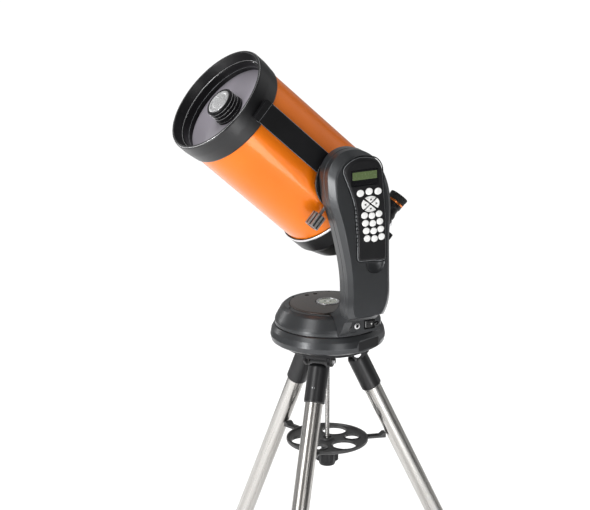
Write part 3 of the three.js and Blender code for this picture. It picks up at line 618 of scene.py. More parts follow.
def build_corrector():
    glass = [(14.7, 221), (107.5, 221), (107.5, 226), (60, 226.25), (14.7, 225.9)]
    # the corrector is opaque, with its reflection painted into its colour
    on_tube("corrector_glass", hoop(glass, 0.4, 128), "corrector", "corrector_plate")
    wall = [(0, 208), (14.2, 208), (14.2, 226.3), (33.4, 226.3), (33.4, 231.5), (30.4, 233)]
    ribs = 3
    for i in range(ribs):
        z = 235.5 + 7.4 * i
        wall += [(30.2, z), (32, z + 0.8), (32, z + 3.6), (30.2, z + 4.4)]
    wall += [(31.2, 256.5), (31.6, 258.6), (30.2, 260.4), (27.8, 260.4), (27, 259), (0, 259)]
    on_tube("secondary_cup", lathe(wall, 96), "satin", "secondary_housing", sharp=28)
    # silver lines on the rim and rib crests of the secondary cup are painted highlights
    for i, (r, z) in enumerate(((33.5, 231.4), (32.1, 239.3), (32.1, 246.7), (32.1, 254.1))):
        line = [(r - 0.5, z - 0.3), (r, z), (r - 0.5, z + 0.3)]
        on_tube(f"secondary_edge_highlight_{i + 1}", hoop(line, 0, 96), "silver")
    cap = [(0, 258.8), (26.4, 258.8), (26.4, 260), (25.2, 260.9), (20.5, 260.9), (19.6, 260.2),
        (15, 260.2), (14.2, 260.8), (0, 260.8)]
    on_tube("secondary_cap", turned(cap, 0.4, 96), "silver")
    for i in range(3):
        place = TUBE @ around(i, 3, 0.25) @ at(17.3, 0, 260.1)
        screw(f"collimation_screw_{i + 1}", place, 1.7, 0.8, "tube")
    mirror = [(0, 195), (16, 194.2), (28, 192.5), (31, 192.5), (31, 207.7), (0, 207.7)]
    on_tube("secondary_mirror_glass", turned(mirror, 0.8, 64), "mirror", "secondary_mirror")


def build_inside():
    primary = [(26, -88), (80, -88), (103, -79), (103, -64), (70, -68.4), (26, -70.6)]
    on(TUBE, "mirror")("primary_mirror_glass", hoop(primary, 1, 128), "mirror", "primary_mirror")
    baffle = [(18, -145.6), (34, -145.6), (34, -141), (22, -135), (22, -30), (18.5, 80), (17, 80),
        (18, -30)]
    on_tube("baffle_shell", hoop(baffle, 0.6, 64), "matte", "baffle_tube")


def build_rear_cell():
    profile = [(113.3, -63.5), (116.3, -63.5), (117.5, -65.5), (116.5, -103), (113.5, -108),
        (103, -142), (98, -149), (90, -152), (17, -152), (17, -146), (88, -146), (96, -138),
        (106, -108), (108, -100), (108, -70.3), (113.3, -70.3)]
    on_tube("rear_cell_casting", hoop(profile, 2.4, WIDE), "satin", "rear_cell")
    for i in range(6):
        place = TUBE @ around(i, 6) @ at(82, 0, -152)
        screw(f"rear_screw_{i + 1}", place @ FLIP, 3.4, 1.6, "tube")
    for i, (r, z) in enumerate(((60, -151.9), (44, -151.9))):
        ring = [(r - 1.2, z), (r - 0.7, z - 0.9), (r + 0.7, z - 0.9), (r + 1.2, z)]
        on_tube(f"rear_plate_ring_{i + 1}", hoop(ring, 0, 128), "satin",
            cuts=[moved(cylinder(14.4, -170, -140), FOCUS_AXIS)])
    boss = [(25.6, -152), (33, -152), (33, -153.6), (31, -155), (26.6, -155), (25.6, -154)]
    on_tube("rear_port_ring", hoop(boss, 0.5, 96), "silver")

    back = [(16.2, -152.3), (24.5, -152.3), (24.5, -158), (22, -161), (22, -166), (23.6, -167.4),
        (23.6, -174), (22.6, -176), (16.2, -176)]
    on_tube("visual_back_shell", hoop(back, 0.8, 96), "satin", "visual_back")
    grip = fluted(24.9, 0.7, 40, -158, -153.4, 0.5, per_lobe=4)
    on_tube("visual_back_grip", grip, "satin", cuts=[cylinder(23.2, -170, -140)])
    thumbscrew("visual_back_thumbscrew", at(0, 0, -170.5) @ spin("Z", 35), (19, 28), (27, 34),
        "tube")

    knob = fluted(13, 1.3, 16, -182.2, -154, 1.6, per_lobe=8)
    stem = cylinder(4, -155, -127)
    on(TUBE, "focus")("focus_grip", moved(joined(knob, stem), FOCUS_AXIS), "plastic", "focus_knob")
    collar = hoop([(4.4, -153.6), (8.5, -153.6), (10, -152.1), (4.4, -152.1)], 0.3, 48)
    on_tube("focus_collar", moved(collar, FOCUS_AXIS), "silver")


def build_diagonal():
    outline = rounded([(-21, -187), (25, -187), (25, -247), (12, -247), (-21, -214)], 2.5)
    socket = moved(turned(rect(0, 19.5, 22, 47), 1.2, 72), EYEPIECE_AXIS)
    bore = moved(cylinder(16.2, 12, 60, 64), EYEPIECE_AXIS)
    on_diagonal("diagonal_body", prism_x(outline, -21, 21), "satin", "star_diagonal", bevel=1.4,
        adds=[socket], cuts=[bore])
    on_diagonal("diagonal_nose", hoop(rect(12, 15.9, -187, -146), 0.6, 72), "steel")
    plate = rounded([(-17, -191), (21, -191), (21, -243), (13, -243), (-17, -213)], 2)
    for side in (-1, 1):
        cover = prism_x(plate, *sorted((side * 20.2, side * 20.98)))
        on_diagonal(f"diagonal_side_plate_{(side + 3) // 2}", cover, "plastic", bevel=0.2)
    thumbscrew("diagonal_thumbscrew", at(0, 38, -215) @ spin("Y", 20), (18.6, 21), (20.6, 26.9),
        "diagonal")


def build_eyepiece():
    on_eyepiece = on(TUBE @ EYEPIECE_AXIS, "eyepiece")
    barrel = rect(11, 15.6, 22, 47.3)
    on_eyepiece("eyepiece_barrel", hoop(barrel, 0.5, 72), "steel", "eyepiece")
    body = [(11, 47.3), (18, 47.3), (18, 59), (16.6, 62), (16.6, 71), (18.6, 74), (18.6, 81),
        (11, 81)]
    on_eyepiece("eyepiece_body", hoop(body, 0.8, 72), "satin")
    band = rect(15, 19.2, 81.1, 85.2)
    on_eyepiece("eyepiece_band", hoop(band, 0.4, 72), "copper")
    cup = [(12.5, 85.3), (19.2, 85.3), (19.4, 92), (20.4, 95), (20.4, 99.6), (19.4, 101),
        (17.6, 100.4), (13, 93)]
    on_eyepiece("eyepiece_cup", hoop(cup, 1, 72), "rubber")
    on_eyepiece("eyepiece_grip", fluted(18.5, 0.7, 30, 50, 57.5, 0.4, per_lobe=4), "rubber")
    lens = [(0, 91.2), (6, 90.9), (12.4, 89.6), (12.4, 87), (0, 87)]
    on_eyepiece("eyepiece_lens", lathe(lens, 64), "lens")


def build_bar():
    rail = [(120.4, -20.5), (130.2, -22.9), (130.2, 22.9), (120.4, 20.5)]
    on_bar("dovetail_rail", prism(rail, -112, 244), "satin", "dovetail_bar", bevel=0.9)
    for side in (-1, 1):
        # light strips along the rail's top edges are painted highlights
        edge = prism(rect(129.9, 130.28, side * 21.9 - 0.35, side * 21.9 + 0.35), -110, 228)
        on_bar(f"dovetail_edge_highlight_{(side + 3) // 2}", edge, "highlight_line", bevel=0.1)
    front = prism(rounded(rect(112.5, 121, -20, 20), 1), 224, 242)
    front_space = moved(cylinder(CELL_R + 0.2, 150, 300, WIDE), at(0, -AXIS_DROP, 0))
    on_bar("dovetail_front_block", front, "satin", bevel=0.8, cuts=[front_space])
    rear = prism(rect(100, 121, -20, 20), -108, -62)
    rear_space = moved(cylinder(117.7, -200, -20, WIDE), at(0, -AXIS_DROP, 0))
    on_bar("dovetail_rear_block", rear, "satin", bevel=0.8, cuts=[rear_space])
    # the light line at the rail's step is a painted highlight
    step = prism(rounded([(120.6, -22.4), (130.28, -22.9), (130.28, 22.9), (120.6, 22.4)], 0.4),
        230, 230.5)
    on_bar("dovetail_step_highlight", step, "highlight_line")


def build_clamp():
    disc = turned(rect(0, 63.5, 131.6, 136.3), 1.2, 128)
    on_altitude("altitude_disc", moved(disc, TURN_X), "gloss", "dovetail_clamp")
    journal = turned(rect(0, 23.9, 136, 157), 0.8, 64)
    on_altitude("altitude_journal", moved(journal, TURN_X), "satin")
    plate = prism_x(rounded(rect(-44, 44, -48, 48), 6), 130.7, 135.6)
    on_altitude("clamp_plate", plate, "gloss", bevel=0.7)
    for side in (-1, 1):
        jaw = [(122.9, side * 22.4), (131, side * 24.4), (131, side * 43.8), (125.2, side * 41.8),
            (122.9, side * 38)]
        jaw = jaw if side > 0 else list(reversed(jaw))
        on_altitude(f"clamp_jaw_{(side + 3) // 2}", prism(jaw, -45, 45), "gloss", bevel=0.8)
    lug = block(113.6, 131.5, -52, -41.5, -26, 2)
    clearance = moved(cylinder(114.3, -200, 200, WIDE), at(0, -AXIS_DROP, 0))
    on_altitude("clamp_lug", lug, "gloss", bevel=1, cuts=[clearance])
    down = at(120, 0, -12) @ spin("X", 90)
    thread = [(0, 41)]
    for i in range(26):
        z = 44 + 1.4 * i
        thread += [(3.4, z), (3.95, z + 0.7)]
    thread += [(3.4, 80.6), (0, 80.6)]
    on_altitude("clamp_stud", moved(lathe(thread, 32), down), "zinc", sharp=60)
    knob = fluted(15.5, 2.2, 10, 81.2, 110.8, 1.2, per_lobe=12, power=1.2)
    on_clamp_knob("clamp_grip", moved(knob, down), "machined", "clamp_knob")
    core = turned([(0, 81.6), (14.1, 82.6), (14.1, 109.6), (0, 110.3)], 0.4, 72)
    on_clamp_knob("clamp_grip_core", moved(core, down), "matte")
    face = turned(rect(0, 9.5, 110.4, 111), 0.2, 48)
    on_clamp_knob("clamp_grip_cap", moved(face, down), "plastic")
    for i, (y, z) in enumerate([(-30, -34), (30, -34), (-30, 34), (30, 34)]):
        place = HUB @ at(130.7, y, z) @ TURN_X @ FLIP
        screw(f"clamp_screw_head_{i + 1}", place, 3.4, 1.5, "altitude")


# ------------ fork arm and handset
ARM_OUTLINE = smooth_outline([
    (-44, 56), (-10, 52), (26, 55), (38, 70), (45, 92), (45, 150), (44, 220), (46, 290),
    (42, 322), (31, 354), (12, 385), (-14, 404), (-44, 411), (-70, 405), (-87, 390), (-97, 368),
    (-97, 338), (-92, 305), (-79, 268), (-68, 228), (-58, 184), (-52, 145), (-50, 108), (-50, 74),
], 168)
HANDSET_OUTLINE = smooth_outline([
    (-37, 187), (-34, 184), (-4, 182), (24, 180), (27, 184), (27, 225), (25, 275), (21, 322),
    (17, 360), (14, 376), (4, 389), (-16, 396), (-40, 397), (-60, 389), (-71, 378), (-72, 371),
    (-64, 350), (-55, 328), (-46, 300), (-42, 262), (-39, 222),
], 147)


def build_arm():
    inner = insets(ARM_OUTLINE, ((137, 5), (138.2, 2.6), (140, 0.9), (142, 0), (158.6, 0),
        (159.7, 1.1)))
    bearing = moved(turned([(24.2, 130), (24.2, 150), (0, 150), (0, 130)], 0.5, 96), TURN_X)
    on_turntable("arm_inner_shell", loft_x(inner), "charcoal", "fork_arm",
        cuts=[moved(bearing, at(*PIVOT))])
    seat = hoop([(24.6, 136.2), (31, 136.2), (32.5, 137.1), (32.5, 138), (24.6, 138)], 0.4, 96)
    on_turntable("altitude_bearing_ring", moved(seat, at(*PIVOT) @ TURN_X), "satin")

    fillet = [Vector((74, 44)), Vector((104, 54)), Vector((124, 84)), Vector((139, 142))]
    curve = []
    for i in range(17):
        t = i / 16
        curve.append(fillet[0] * (1 - t) ** 3 + fillet[1] * 3 * t * (1 - t) ** 2
            + fillet[2] * 3 * t * t * (1 - t) + fillet[3] * t ** 3)
    foot = [Vector((70, 41.4))] + curve + [Vector((159.6, 142)), Vector((159.6, 57)),
        Vector((140, 41.4))]
    tip = prism_y([(142, 50), (129, 26), (112, 3.2), (100, 3.2), (78, 40.6), (76, 44), (140, 60)],
        -36, -18)
    keep_out = lathe([(0, -2), (111.9, 0), (111.9, 9), (109.9, 17), (104.4, 27), (98.4, 35.2),
        (92.2, 40.7), (0, 40.7)], 128)
    panel_space = prism_x([(-16.4, 3), (62.4, 3), (62.4, 30), (53, 36.4), (-16.4, 36.4)], 40,
        111.4)
    on_turntable("arm_foot", prism_y(foot, -36, 34), "charcoal", bevel=3, adds=[tip],
        cuts=[keep_out, panel_space])
    for i, (y, z) in enumerate([(-24, 92), (22, 92)]):
        place = WORK @ at(126.5, y, z) @ spin("Y", -62)
        screw(f"arm_foot_screw_{i + 1}", place, 3.6, 2, "turntable", look="plastic")

    cover = insets(ARM_OUTLINE, ((160, 1.3), (161.3, 0.2), (162.6, 0), (174.6, 0)))
    cover += shrinks(ARM_OUTLINE, ((175.4, 0.3), (176.2, 1), (186.8, 9.4), (188.6, 11),
        (189.6, 12.2), (190, 13.6)))
    pocket = prism_x(inset(HANDSET_OUTLINE, -1.1), 175.5, 200)
    scoop = lathe([(0, -1)] + [(sin(a), -cos(a)) for a in (pi * i / 16 for i in range(1, 16))]
        + [(0, 1)], 48)
    scoop = moved(scoop, at(191, 4, 175) @ Matrix.Diagonal((9, 22, 21, 1)))
    under = moved(block(-60, 12, -100, 100, -40, 0), at(190, 0, 66) @ spin("Y", -18))
    on_turntable("arm_outer_cover", loft_x(cover), "charcoal", "fork_arm_cover",
        cuts=[pocket, scoop, under], sharp=26)
    on_turntable("arm_seam_gasket", prism_x(inset(ARM_OUTLINE, 2.2), 159.55, 160.15), "matte")
    lip = []
    for x, d in ((189.2, 0.2), (190.35, 1), (190.35, 2.2), (189.2, 2.6)):
        lip.append([Vector((x, p.x, p.y)) for p in inset(HANDSET_OUTLINE, -1.1 - d)])
    on_turntable("pocket_lip", skin(lip + [lip[0]], cap=False), "charcoal")


def key_middle(z):
    return -13 - 0.136 * (z - 302)


def key_places():
    places = {}
    for column in (-1, 0, 1):
        z = 326 + (1.8 if column == 0 else 0)
        places[f"key_top_{column + 2}"] = (key_middle(z) + 20 * column, z, 7.9, 7)
    for row in range(4):
        for column in (-1, 0, 1):
            z = 279.5 - 16 * row - (2 if column == 0 else 0)
            name = f"key_pad_{row * 3 + column + 2}"
            places[name] = (key_middle(z) + 16.4 * column, z, 7.3, 6.7)
    return places


def key_cap(y, z, ry, rz):
    """Domed oval key."""
    dome = [(0, -2.4), (1, -2.4), (1, 0.9), (0.975, 1.45), (0.9, 1.85), (0.75, 2.08), (0.4, 2.19),
        (0, 2.2)]
    flat = Matrix.Diagonal((rz, ry, 1, 1))
    return moved(lathe(dome, 48), at(197, y, z) @ TURN_X @ flat)


def pad_quarter(middle, y, z):
    margin = 0.12
    start = middle - pi / 4 + margin
    sweep = pi / 2 - 2 * margin
    arc = [start + sweep * i / 16 for i in range(17)]
    outline = [Vector((y + 20 * cos(a), z + 16 * sin(a))) for a in arc]
    outline.append(Vector((y + 2 * cos(middle), z + 2 * sin(middle))))
    return outline


def build_handset():
    outline = HANDSET_OUTLINE
    sections = insets(outline, ((176, 1.2), (177.2, 0), (189.2, 0), (189.9, 0.3), (193.8, 2.4),
        (194.6, 2.9)))
    sections += shrinks(outline, ((196.2, 4.6), (197, 6.6)))
    cutters = []
    for y, z, ry, rz in key_places().values():
        cutters.append(prism_x(circle(y, z, ry + 0.4, rz + 0.4), 193, 205))
    pad_z = 302
    pad_y = key_middle(pad_z)
    cutters.append(prism_x(circle(pad_y, pad_z, 20.6, 16.6, 64), 193, 205))
    screen = [Vector(p) for p in [(-57, 340), (6, 340), (4, 374), (-58, 374)]]
    cutters.append(prism_x(rounded(screen, 2.5), 194.5, 205))
    on_handset("handset_shell", loft_x(sections), "plastic", "handset_case", cuts=cutters,
        sharp=24)

    cross = []
    for turn in (1, -1):
        angle = atan2(16 * turn, 20)
        bar = block(-24, 24, -1.5, 1.5, 0, 2.6)
        bar.transform(at(193, pad_y, pad_z) @ TURN_X @ Matrix.Rotation(angle + pi / 2, 4, "Z"))
        cross.append(bar)
    on_handset("pad_cross", cross[0], "plastic", adds=[cross[1]],
        cuts=[prism_x(circle(pad_y, pad_z, 60, 60, 64), 190, 192.9)])
    floor = prism_x(circle(pad_y, pad_z, 20.4, 16.4, 64), 192.9, 193.2)
    on_handset("pad_floor", floor, "plastic")

    bezel = rounded(inset(screen, 0.35), 2.2)
    on_handset("display_surround", prism_x(bezel, 194.6, 196.1), "gloss", "handset_display",
        bevel=0.3)
    window = [Vector(p) for p in [(-53, 353), (2.2, 353), (1.4, 369.2), (-54, 369.2)]]
    on_handset("display_window", prism_x(rounded(window, 1), 195.9, 196.35), "display",
        bevel=0.15)

    for name, (y, z, ry, rz) in key_places().items():
        on(WORK, name)(f"{name}_cap", key_cap(y, z, ry, rz), "white_key", name)
    for i, way in enumerate(("right", "up", "left", "down")):
        middle = i * pi / 2
        name = f"arrow_{way}"
        quarter = rounded(pad_quarter(middle, pad_y, pad_z), 1.2)
        body = loft_x(insets(quarter, ((194.6, 0), (198.3, 0), (198.8, 0.25), (199.15, 0.8))))
        on(WORK, name)(f"{name}_cap", body, "white_key", name)
        tip = Vector((pad_y + 15.2 * cos(middle), pad_z + 12.2 * sin(middle)))
        ahead = Vector((cos(middle), sin(middle)))
        side = Vector((-ahead.y, ahead.x))
        mark = [tip, tip - ahead * 4.6 + side * 2.9, tip - ahead * 4.6 - side * 2.9]
        on(WORK, name)(f"{name}_mark", prism_x(mark, 198.7, 199.2), "plastic")

    for i in range(11):
        z = 216 + 8.2 * i
        y = min((p.x for p in HANDSET_OUTLINE if abs(p.y - z) < 6), default=-40)
        rib = block(189.4, 195.7, y + 0.3, y + 3.6, z - 1.5, z + 1.5)
        on_handset(f"grip_rib_{i + 1}", rib, "charcoal", bevel=0.8)
    # a light line round the handset's rim is a painted highlight
    line = []
    for x, d in ((190.5, 0.5), (191.3, 0.6), (191.5, 1.3), (190.7, 1.2)):
        line.append([Vector((x, p.x, p.y)) for p in inset(outline, d)])
    on_handset("handset_edge_highlight", skin(line + [line[0]], cap=False), "highlight_line")


# ------------ turntable
def build_turntable():
    shell = [(0, 0.3), (110.9, 0.3), (111.4, 0.9), (111.4, 8.2), (109.4, 14), (98.2, 34.4),
        (92.2, 40.2), (80.9, 40.2), (80.9, 36), (70, 36), (70, 12), (0, 12)]
    on_turntable("housing_shell", turned(shell, 1.6, WIDE), "charcoal", "turntable_housing",
        sharp=20)
    journal = [(0, -11), (28, -11), (29.5, -9), (29.5, 1), (0, 1)]
    on_turntable("azimuth_journal", lathe(journal, 64), "satin")

    outline = rounded([(-16, 4), (62, 4), (62, 30), (53, 36), (-16, 36)], 2.5)
    well = prism_x(rounded(rect(26, 48, 11.5, 28.5), 1), 104, 116)
    sockets = ((-11, 18, 3.3, "gloss"), (8, 20, 4.2, "silver"), (54, 19, 3.3, "gloss"))
    bores = [prism_x(circle(y, z, r), 105, 116) for y, z, r, _ in sockets]
    on_turntable("control_panel", prism_x(outline, 76, 111), "charcoal", bevel=0.8,
        cuts=[well, *bores])
    inner = prism_x(rounded(rect(27, 47, 12.5, 27.5), 0.8), 104.05, 116)
    frame_outline = rounded(rect(24, 50, 9.5, 30.5), 2)
    on_turntable("switch_surround", prism_x(frame_outline, 110.2, 111), "satin", bevel=0.3,
        cuts=[inner])
    rocker = [(105, 27.4), (109.6, 27.4), (112.4, 37), (109.6, 46.6), (105, 46.6), (106.4, 37)]
    on_switch("rocker_cap", prism(rocker, 13.1, 26.9), "gloss", "power_switch", bevel=0.7)
    dot = moved(cylinder(1.6, 0, 0.12, 24), at(110.98, 42, 20) @ spin("Z", 16.3) @ TURN_X)
    on_switch("rocker_dot", dot, "white_key")

    for i, (y, z, r, look) in enumerate(sockets):
        ring = hoop([(r - 0.7, 0), (r + 2.2, 0), (r + 2.2, 1.4), (r - 0.7, 1.9)], 0.4, 48)
        on_turntable(f"socket_ring_{i + 1}", moved(ring, at(110.1, y, z) @ TURN_X), look)
        pin = moved(cylinder(0.9, 0, 4.5, 16, edge=0.3), at(105, y, z) @ TURN_X)
        on_turntable(f"socket_pin_{i + 1}", pin, "zinc")

    disc = [(0, 36.4), (80.2, 36.4), (80.2, 41), (77.5, 42.5), (60, 43.5), (27, 44.1),
        (25.6, 43.6), (25.2, 41.7), (0, 41.7)]
    chord = block(66, 130, -130, 130, 0, 80)
    holes = [moved(cylinder(5.1, 30, 60), at(-63, y, 0)) for y in (-16, 4)]
    on_lid("lid_shell", turned(disc, 1.2, WIDE), "lid", "battery_cover", cuts=[chord, *holes])
    ring = [(20.6, 41.9), (24.3, 41.9), (24.3, 45.1), (23, 45.9), (21.2, 45.9), (20.6, 45)]
    on_lid("level_ring", hoop(ring, 0.6, 96), "silver", "level_vial")
    dome = [(0, 42), (20.5, 42), (20.5, 44.2), (14, 45), (0, 45.3)]
    on_lid("level_glass", turned(dome, 0.5, 64), "vial")
    mark = [(6.3, 45.2), (6.9, 45.36), (7.5, 45.2), (6.9, 45.1)]
    on_lid("level_mark", hoop(mark, 0, 64), "plastic")
    bubble = lathe([(0, 45.2), (3.6, 45.2), (3.2, 45.55), (0, 45.75)], 32)
    on_lid("level_bubble", moved(bubble, at(1.4, -0.8, 0)), "white_key")

    for i, angle in enumerate((-150, -95, 95, 150)):
        a = radians(angle)
        place = WORK @ at(86.5 * cos(a), 86.5 * sin(a), 40.2)
        screw(f"housing_screw_{i + 1}", place, 2.6, 0.9, "turntable", look="plastic")


def build_base():
    shell = [(14.5, -42), (96, -42), (112, -38.8), (118.6, -34.2), (120.8, -24), (118.3, -11),
        (113.2, -1.6), (111.4, -0.4), (30, -0.4), (30, -14), (14.5, -14)]
    turn = spin("Z", 18.6)
    facet = moved(block(115, 140, -60, 60, -37, -10), turn)
    on_base("base_shell", hoop(shell, 0.9, WIDE), "charcoal", "lower_base", cuts=[facet],
        sharp=11)
    tab = prism_x(rounded(rect(-30, 30, -33, -14), 2.5), 114.8, 115.5)
    on_base("base_plate_tab", moved(tab, turn), "satin", bevel=0.25)


# ------------ tripod
def build_head():
    plate = [(0, -42.4), (88, -42.4), (92, -45.4), (90, -52), (20, -52), (16, -60), (0, -60)]
    on_base("tripod_plate", turned(plate, 2, 128), "satin", "tripod_head")
    for number in (1, 2, 3):
        turn = leg_turn(number)
        for side in (-1, 1):
            ear = rounded([(-84, -50), (-84, -62), (-66, -78), (-48, -78), (-38, -50)], 7)
            on_base(f"head_ear_{number}_{(side + 3) // 2}", moved(prism_x(ear,
                *sorted((side * 23, side * 29))), turn), "satin", bevel=1)
            place = WORK @ turn @ at(*HINGE)
            out = TURN_X if side > 0 else TURN_X @ FLIP
            hexagon = circle(0, 0, 6.4, count=6)
            washer = turned(rect(0, 8.2, 29, 30.2), 0.3, 40)
            on(place, "base")(f"hinge_bolt_{number}_{(side + 3) // 2}",
                moved(joined(prism(hexagon, 30, 34), washer), out), "zinc", bevel=0.5)
        web = block(-23, 23, -84, -79.5, -58, -50)
        on_base(f"head_web_{number}", moved(web, turn), "satin", bevel=1.2)
    for i in range(3):
        place = WORK @ leg_turn(i + 1.5) @ at(0, -60, -52) @ FLIP
        screw(f"head_bolt_{i + 1}", place, 6.5, 4, "base")
    thread = [(0, -60.3)]
    turns, pitch = 62, 4
    for i in range(turns):
        z = -61 - pitch * i
        thread += [(4.3, z), (4.85, z - 1), (4.85, z - 2), (4.3, z - 3)]
    thread += [(4.3, -311.6), (0, -311.6)]
    on_base("spreader_rod", lathe(thread, 32), "machined", "centre_rod", sharp=50)


def build_tray():
    half = 4.5
    rim = [(9, -half), (84, -half), (87, -half + 3), (87, half), (83, half), (82, half - 4),
        (16, half - 4), (14, half), (9, half)]
    adds, cuts, collars = [], [], []
    for number in (1, 2, 3):
        turn = leg_turn(number)
        arm = [(-127, -half), (-127, 6), (-122, 6), (-115, 0), (-70, 0), (-70, -half)]
        adds.append(moved(prism_x(list(reversed(arm)), -9, 9), turn))
        between = turn @ spin("Z", 60)
        for radius, facets, place in ((26, 72, turn @ at(0, 52, 0)),
                (16.2, 56, between @ at(0, 54, 0))):
            cuts.append(moved(cylinder(radius, -20, 20, facets), place))
            collar = rect(radius - 0.1, radius + 2.2, -4.4, 1.8)
            collars.append(moved(hoop(collar, 0.5, 72), place))
    on_tray = on(WORK @ at(0, 0, -262), "tray")
    on_tray("tray_plate", hoop(rim, 1.2, 144), "tray", "accessory_tray", bevel=0.7, adds=adds,
        cuts=cuts)
    on_tray("tray_hole_rims", joined(*collars), "tray")
    for number in (1, 2, 3):
        turn = leg_turn(number)
        pad = block(-7.5, 7.5, -126.9, -125.6, -4.2, 5.6)
        on_tray(f"tray_arm_pad_{number}", moved(pad, turn), "rubber", bevel=0.4)
        rib = block(-1.4, 1.4, -113, -84, 0, 2.2)
        on_tray(f"tray_arm_rib_{number}", moved(rib, turn), "tray", bevel=0.6)

    grip = fluted(24, 5, 6, -311, -289, 3.2, per_lobe=14, power=0.8)
    hub = hoop([(5.4, -318.8), (16, -318.8), (19, -311), (19, -289), (13, -289), (13, -277),
        (5.4, -277)], 1.4, 72)
    on(WORK, "tray_screw")("spreader_knob", joined(grip, hub), "plastic", "tray_knob")


def build_leg(number):
    place = leg_frame(number)
    leg = f"leg_{number}"
    on_leg = on(place, leg)
    on_lock = on(place, f"leg_lock_{number}")
    on_extension = on(place, f"leg_ext_{number}")
    sleeve = [(0, -10), (17, -10), (22, -16), (22, -90), (20.6, -92), (18.7, -92), (18.7, -40),
        (0, -40)]
    on_leg(f"{leg}_collar", turned(sleeve, 3, 96, steps=5), "cell", f"leg_collar_{number}")
    eye = [(10 * cos(pi * i / 16), 10 * sin(pi * i / 16)) for i in range(17)]
    tongue = prism_x([(-10, -18), (10, -18), *eye], -20.4, 20.4)
    on_leg(f"{leg}_tongue", tongue, "cell", bevel=1)
    rivet = moved(cylinder(3.2, -0.9, 0.5, 24, edge=0.6), at(0, -21.4, -62) @ spin("X", 90))
    on_leg(f"{leg}_rivet", rivet, "zinc")

    tube = hoop(rect(16.5, 18.5, -600, -41), 0.4, 96)
    on_leg(f"{leg}_tube", tube, f"drawn_steel_{number}", f"leg_tube_{number}")
    clamp = [(15.3, -600), (22.9, -600), (22.9, -582), (20.4, -578.2), (18.6, -577.8),
        (18.6, -596), (15.3, -597)]
    on_leg(f"{leg}_clamp", hoop(clamp, 1.6, 96), "gloss")
    out = at(0, 0, -590) @ TURN_Y
    boss = turned(rect(0, 8.8, 19, 26.9), 0.8, 48)
    on_leg(f"{leg}_clamp_boss", moved(boss, out), "gloss")

    lock = fluted(15, 3.4, 5, 27.4, 41.2, 2.2, per_lobe=14, power=0.8)
    on_lock(f"{leg}_lock_grip", moved(lock, out), "plastic", f"leg_lock_knob_{number}")
    cap = turned(rect(0, 6, 40.6, 41.3), 0.2, 32)
    on_lock(f"{leg}_lock_cap", moved(cap, out), "silver")

    inner = hoop(rect(13, 15, -684, -160), 0.4, 80)
    on_extension(f"{leg}_inner_tube", inner, f"drawn_steel_{number}", f"leg_extension_{number}")
    foot = turned([(0, -706), (9, -706), (16.6, -698), (16.6, -680), (15.1, -676), (0, -676)],
        1.2, 72)
    ground = moved(block(-60, 60, -60, 60, -60, 0), at(0, 0, -697) @ spin("X", LEG_SPLAY))
    on_extension(f"{leg}_foot", foot, "rubber", cuts=[ground])
    for i, z in enumerate((-682.5, -686.5)):
        band = hoop(rect(16.2, 16.85, z - 0.7, z + 0.7), 0.25, 72)
        on_extension(f"{leg}_foot_rib_{i + 1}", band, "rubber")


# ------------ studio
def light(name, kind, power, aim, mirrored):
    data = bpy.data.lights.new(name, kind)
    data.energy = power
    lamp = new_object(name, data)
    lamp.rotation_euler = aim.to_track_quat("-Z", "Y").to_euler()
    lamp.visible_glossy = mirrored
    return lamp


def area_light(name, where, target, size, power, mirrored=True):
    lamp = light(name, "AREA", power, Vector(target) - Vector(where), mirrored)
    lamp.data.shape = "RECTANGLE"
    lamp.data.size, lamp.data.size_y = size
    lamp.location = where
    lamp.visible_camera = False


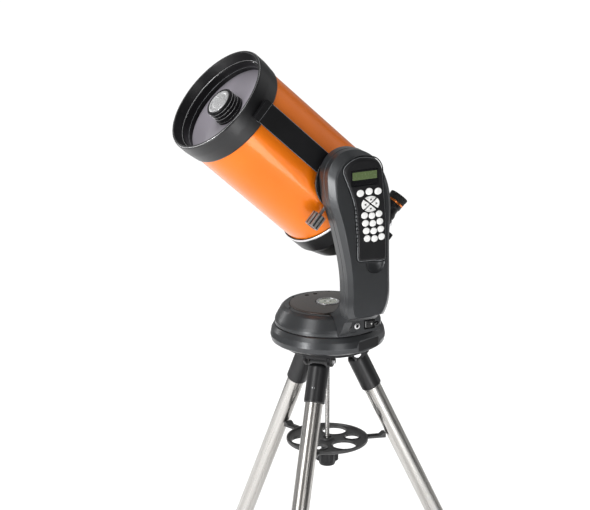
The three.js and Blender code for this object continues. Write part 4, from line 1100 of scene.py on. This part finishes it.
def build_studio():
    """White floor and backdrop; what the object mirrors is a darker room with soft boxes."""
    rim = [pi * i / 48 for i in range(96)]
    floor = raw_object("studio_floor", skin([[Vector((2.4 * cos(a), 2.4 * sin(a), z))
        for a in rim] for z in (-0.02, 0)]))
    pale = surface("studio_floor_paint", (0.88, 0.88, 0.885), (0.9, 0.9, 0.9), (0.6, 0.7),
        grain=40, relief=0, cloud=1)
    floor.data.materials.append(pale)

    world = bpy.data.worlds.new("studio_world")
    bpy.context.scene.world = world
    world.use_nodes = True
    tree = world.node_tree
    background = tree.nodes["Background"]
    coordinates = add(tree, "TexCoord")
    split = add(tree, "SeparateXYZ")
    azimuth = add(tree, "Math")
    azimuth.operation = "ARCTAN2"
    scaled = add(tree, "Math")
    scaled.operation = "MULTIPLY_ADD"
    scaled.inputs[1].default_value = 0.5 / pi
    scaled.inputs[2].default_value = 0.5
    bands = add(tree, "ValToRGB")
    stops = [(0, 0.25), (0.06, 0.08), (0.12, 0.4), (0.2, 0.4), (0.235, 0.1), (0.262, 0.95),
        (0.318, 0.95), (0.345, 0.1), (0.4, 0.25), (0.47, 0.45), (0.52, 0.06), (0.66, 0.06),
        (0.7, 0.5), (0.78, 0.6), (0.83, 0.08), (0.92, 0.4), (1, 0.25)]
    while len(bands.color_ramp.elements) < len(stops):
        bands.color_ramp.elements.new(0.5)
    for element, (place, value) in zip(bands.color_ramp.elements, stops):
        element.position = place
        element.color = (value, value, value, 1)
    camera_ray = add(tree, "LightPath")
    choose = add(tree, "Mix")
    choose.data_type = "RGBA"
    choose.inputs[7].default_value = (1.05, 1.05, 1.05, 1)
    for source, output, node, entry in ((coordinates, "Generated", split, "Vector"),
            (split, "Y", azimuth, 0), (split, "X", azimuth, 1), (azimuth, 0, scaled, 0),
            (scaled, 0, bands, "Fac"), (camera_ray, "Is Camera Ray", choose, "Factor"),
            (bands, "Color", choose, 6), (choose, 2, background, "Color")):
        tree.links.new(source.outputs[output], node.inputs[entry])

    middle = (0, 0, 0.9)
    sun = light("overhead_sun", "SUN", 2.5, Vector((0.12, 0.25, -1)), False)
    sun.data.angle = radians(50)
    area_light("key_box", (1, -2.8, 2.2), middle, (1.1, 1.5), 26)
    area_light("side_box", (2.9, -0.6, 1.3), middle, (0.5, 1.9), 8)
    area_light("front_box", (0.75, -2.3, 0.5), (0.1, -0.1, 0.9), (0.35, 0.9), 26)
    area_light("low_box", (1.5, -0.1, 0.35), (0, -0.15, 1.1), (0.3, 0.9), 5)
    area_light("back_box", (-1.8, 2.4, 1.9), middle, (0.9, 1.6), 20, mirrored=False)
    area_light("left_box", (-2.6, -1.4, 1.5), middle, (0.6, 1.8), 12)
    area_light("right_box", (2, 2, 2.5), middle, (0.8, 1.2), 16, mirrored=False)
    bpy.context.scene.view_settings.view_transform = "Standard"


build_tube()
build_front_cell()
build_corrector()
build_inside()
build_rear_cell()
build_diagonal()
build_eyepiece()
build_bar()
build_clamp()
build_arm()
build_handset()
build_turntable()
build_base()
build_head()
build_tray()
for leg_number in (1, 2, 3):
    build_leg(leg_number)
build_studio()
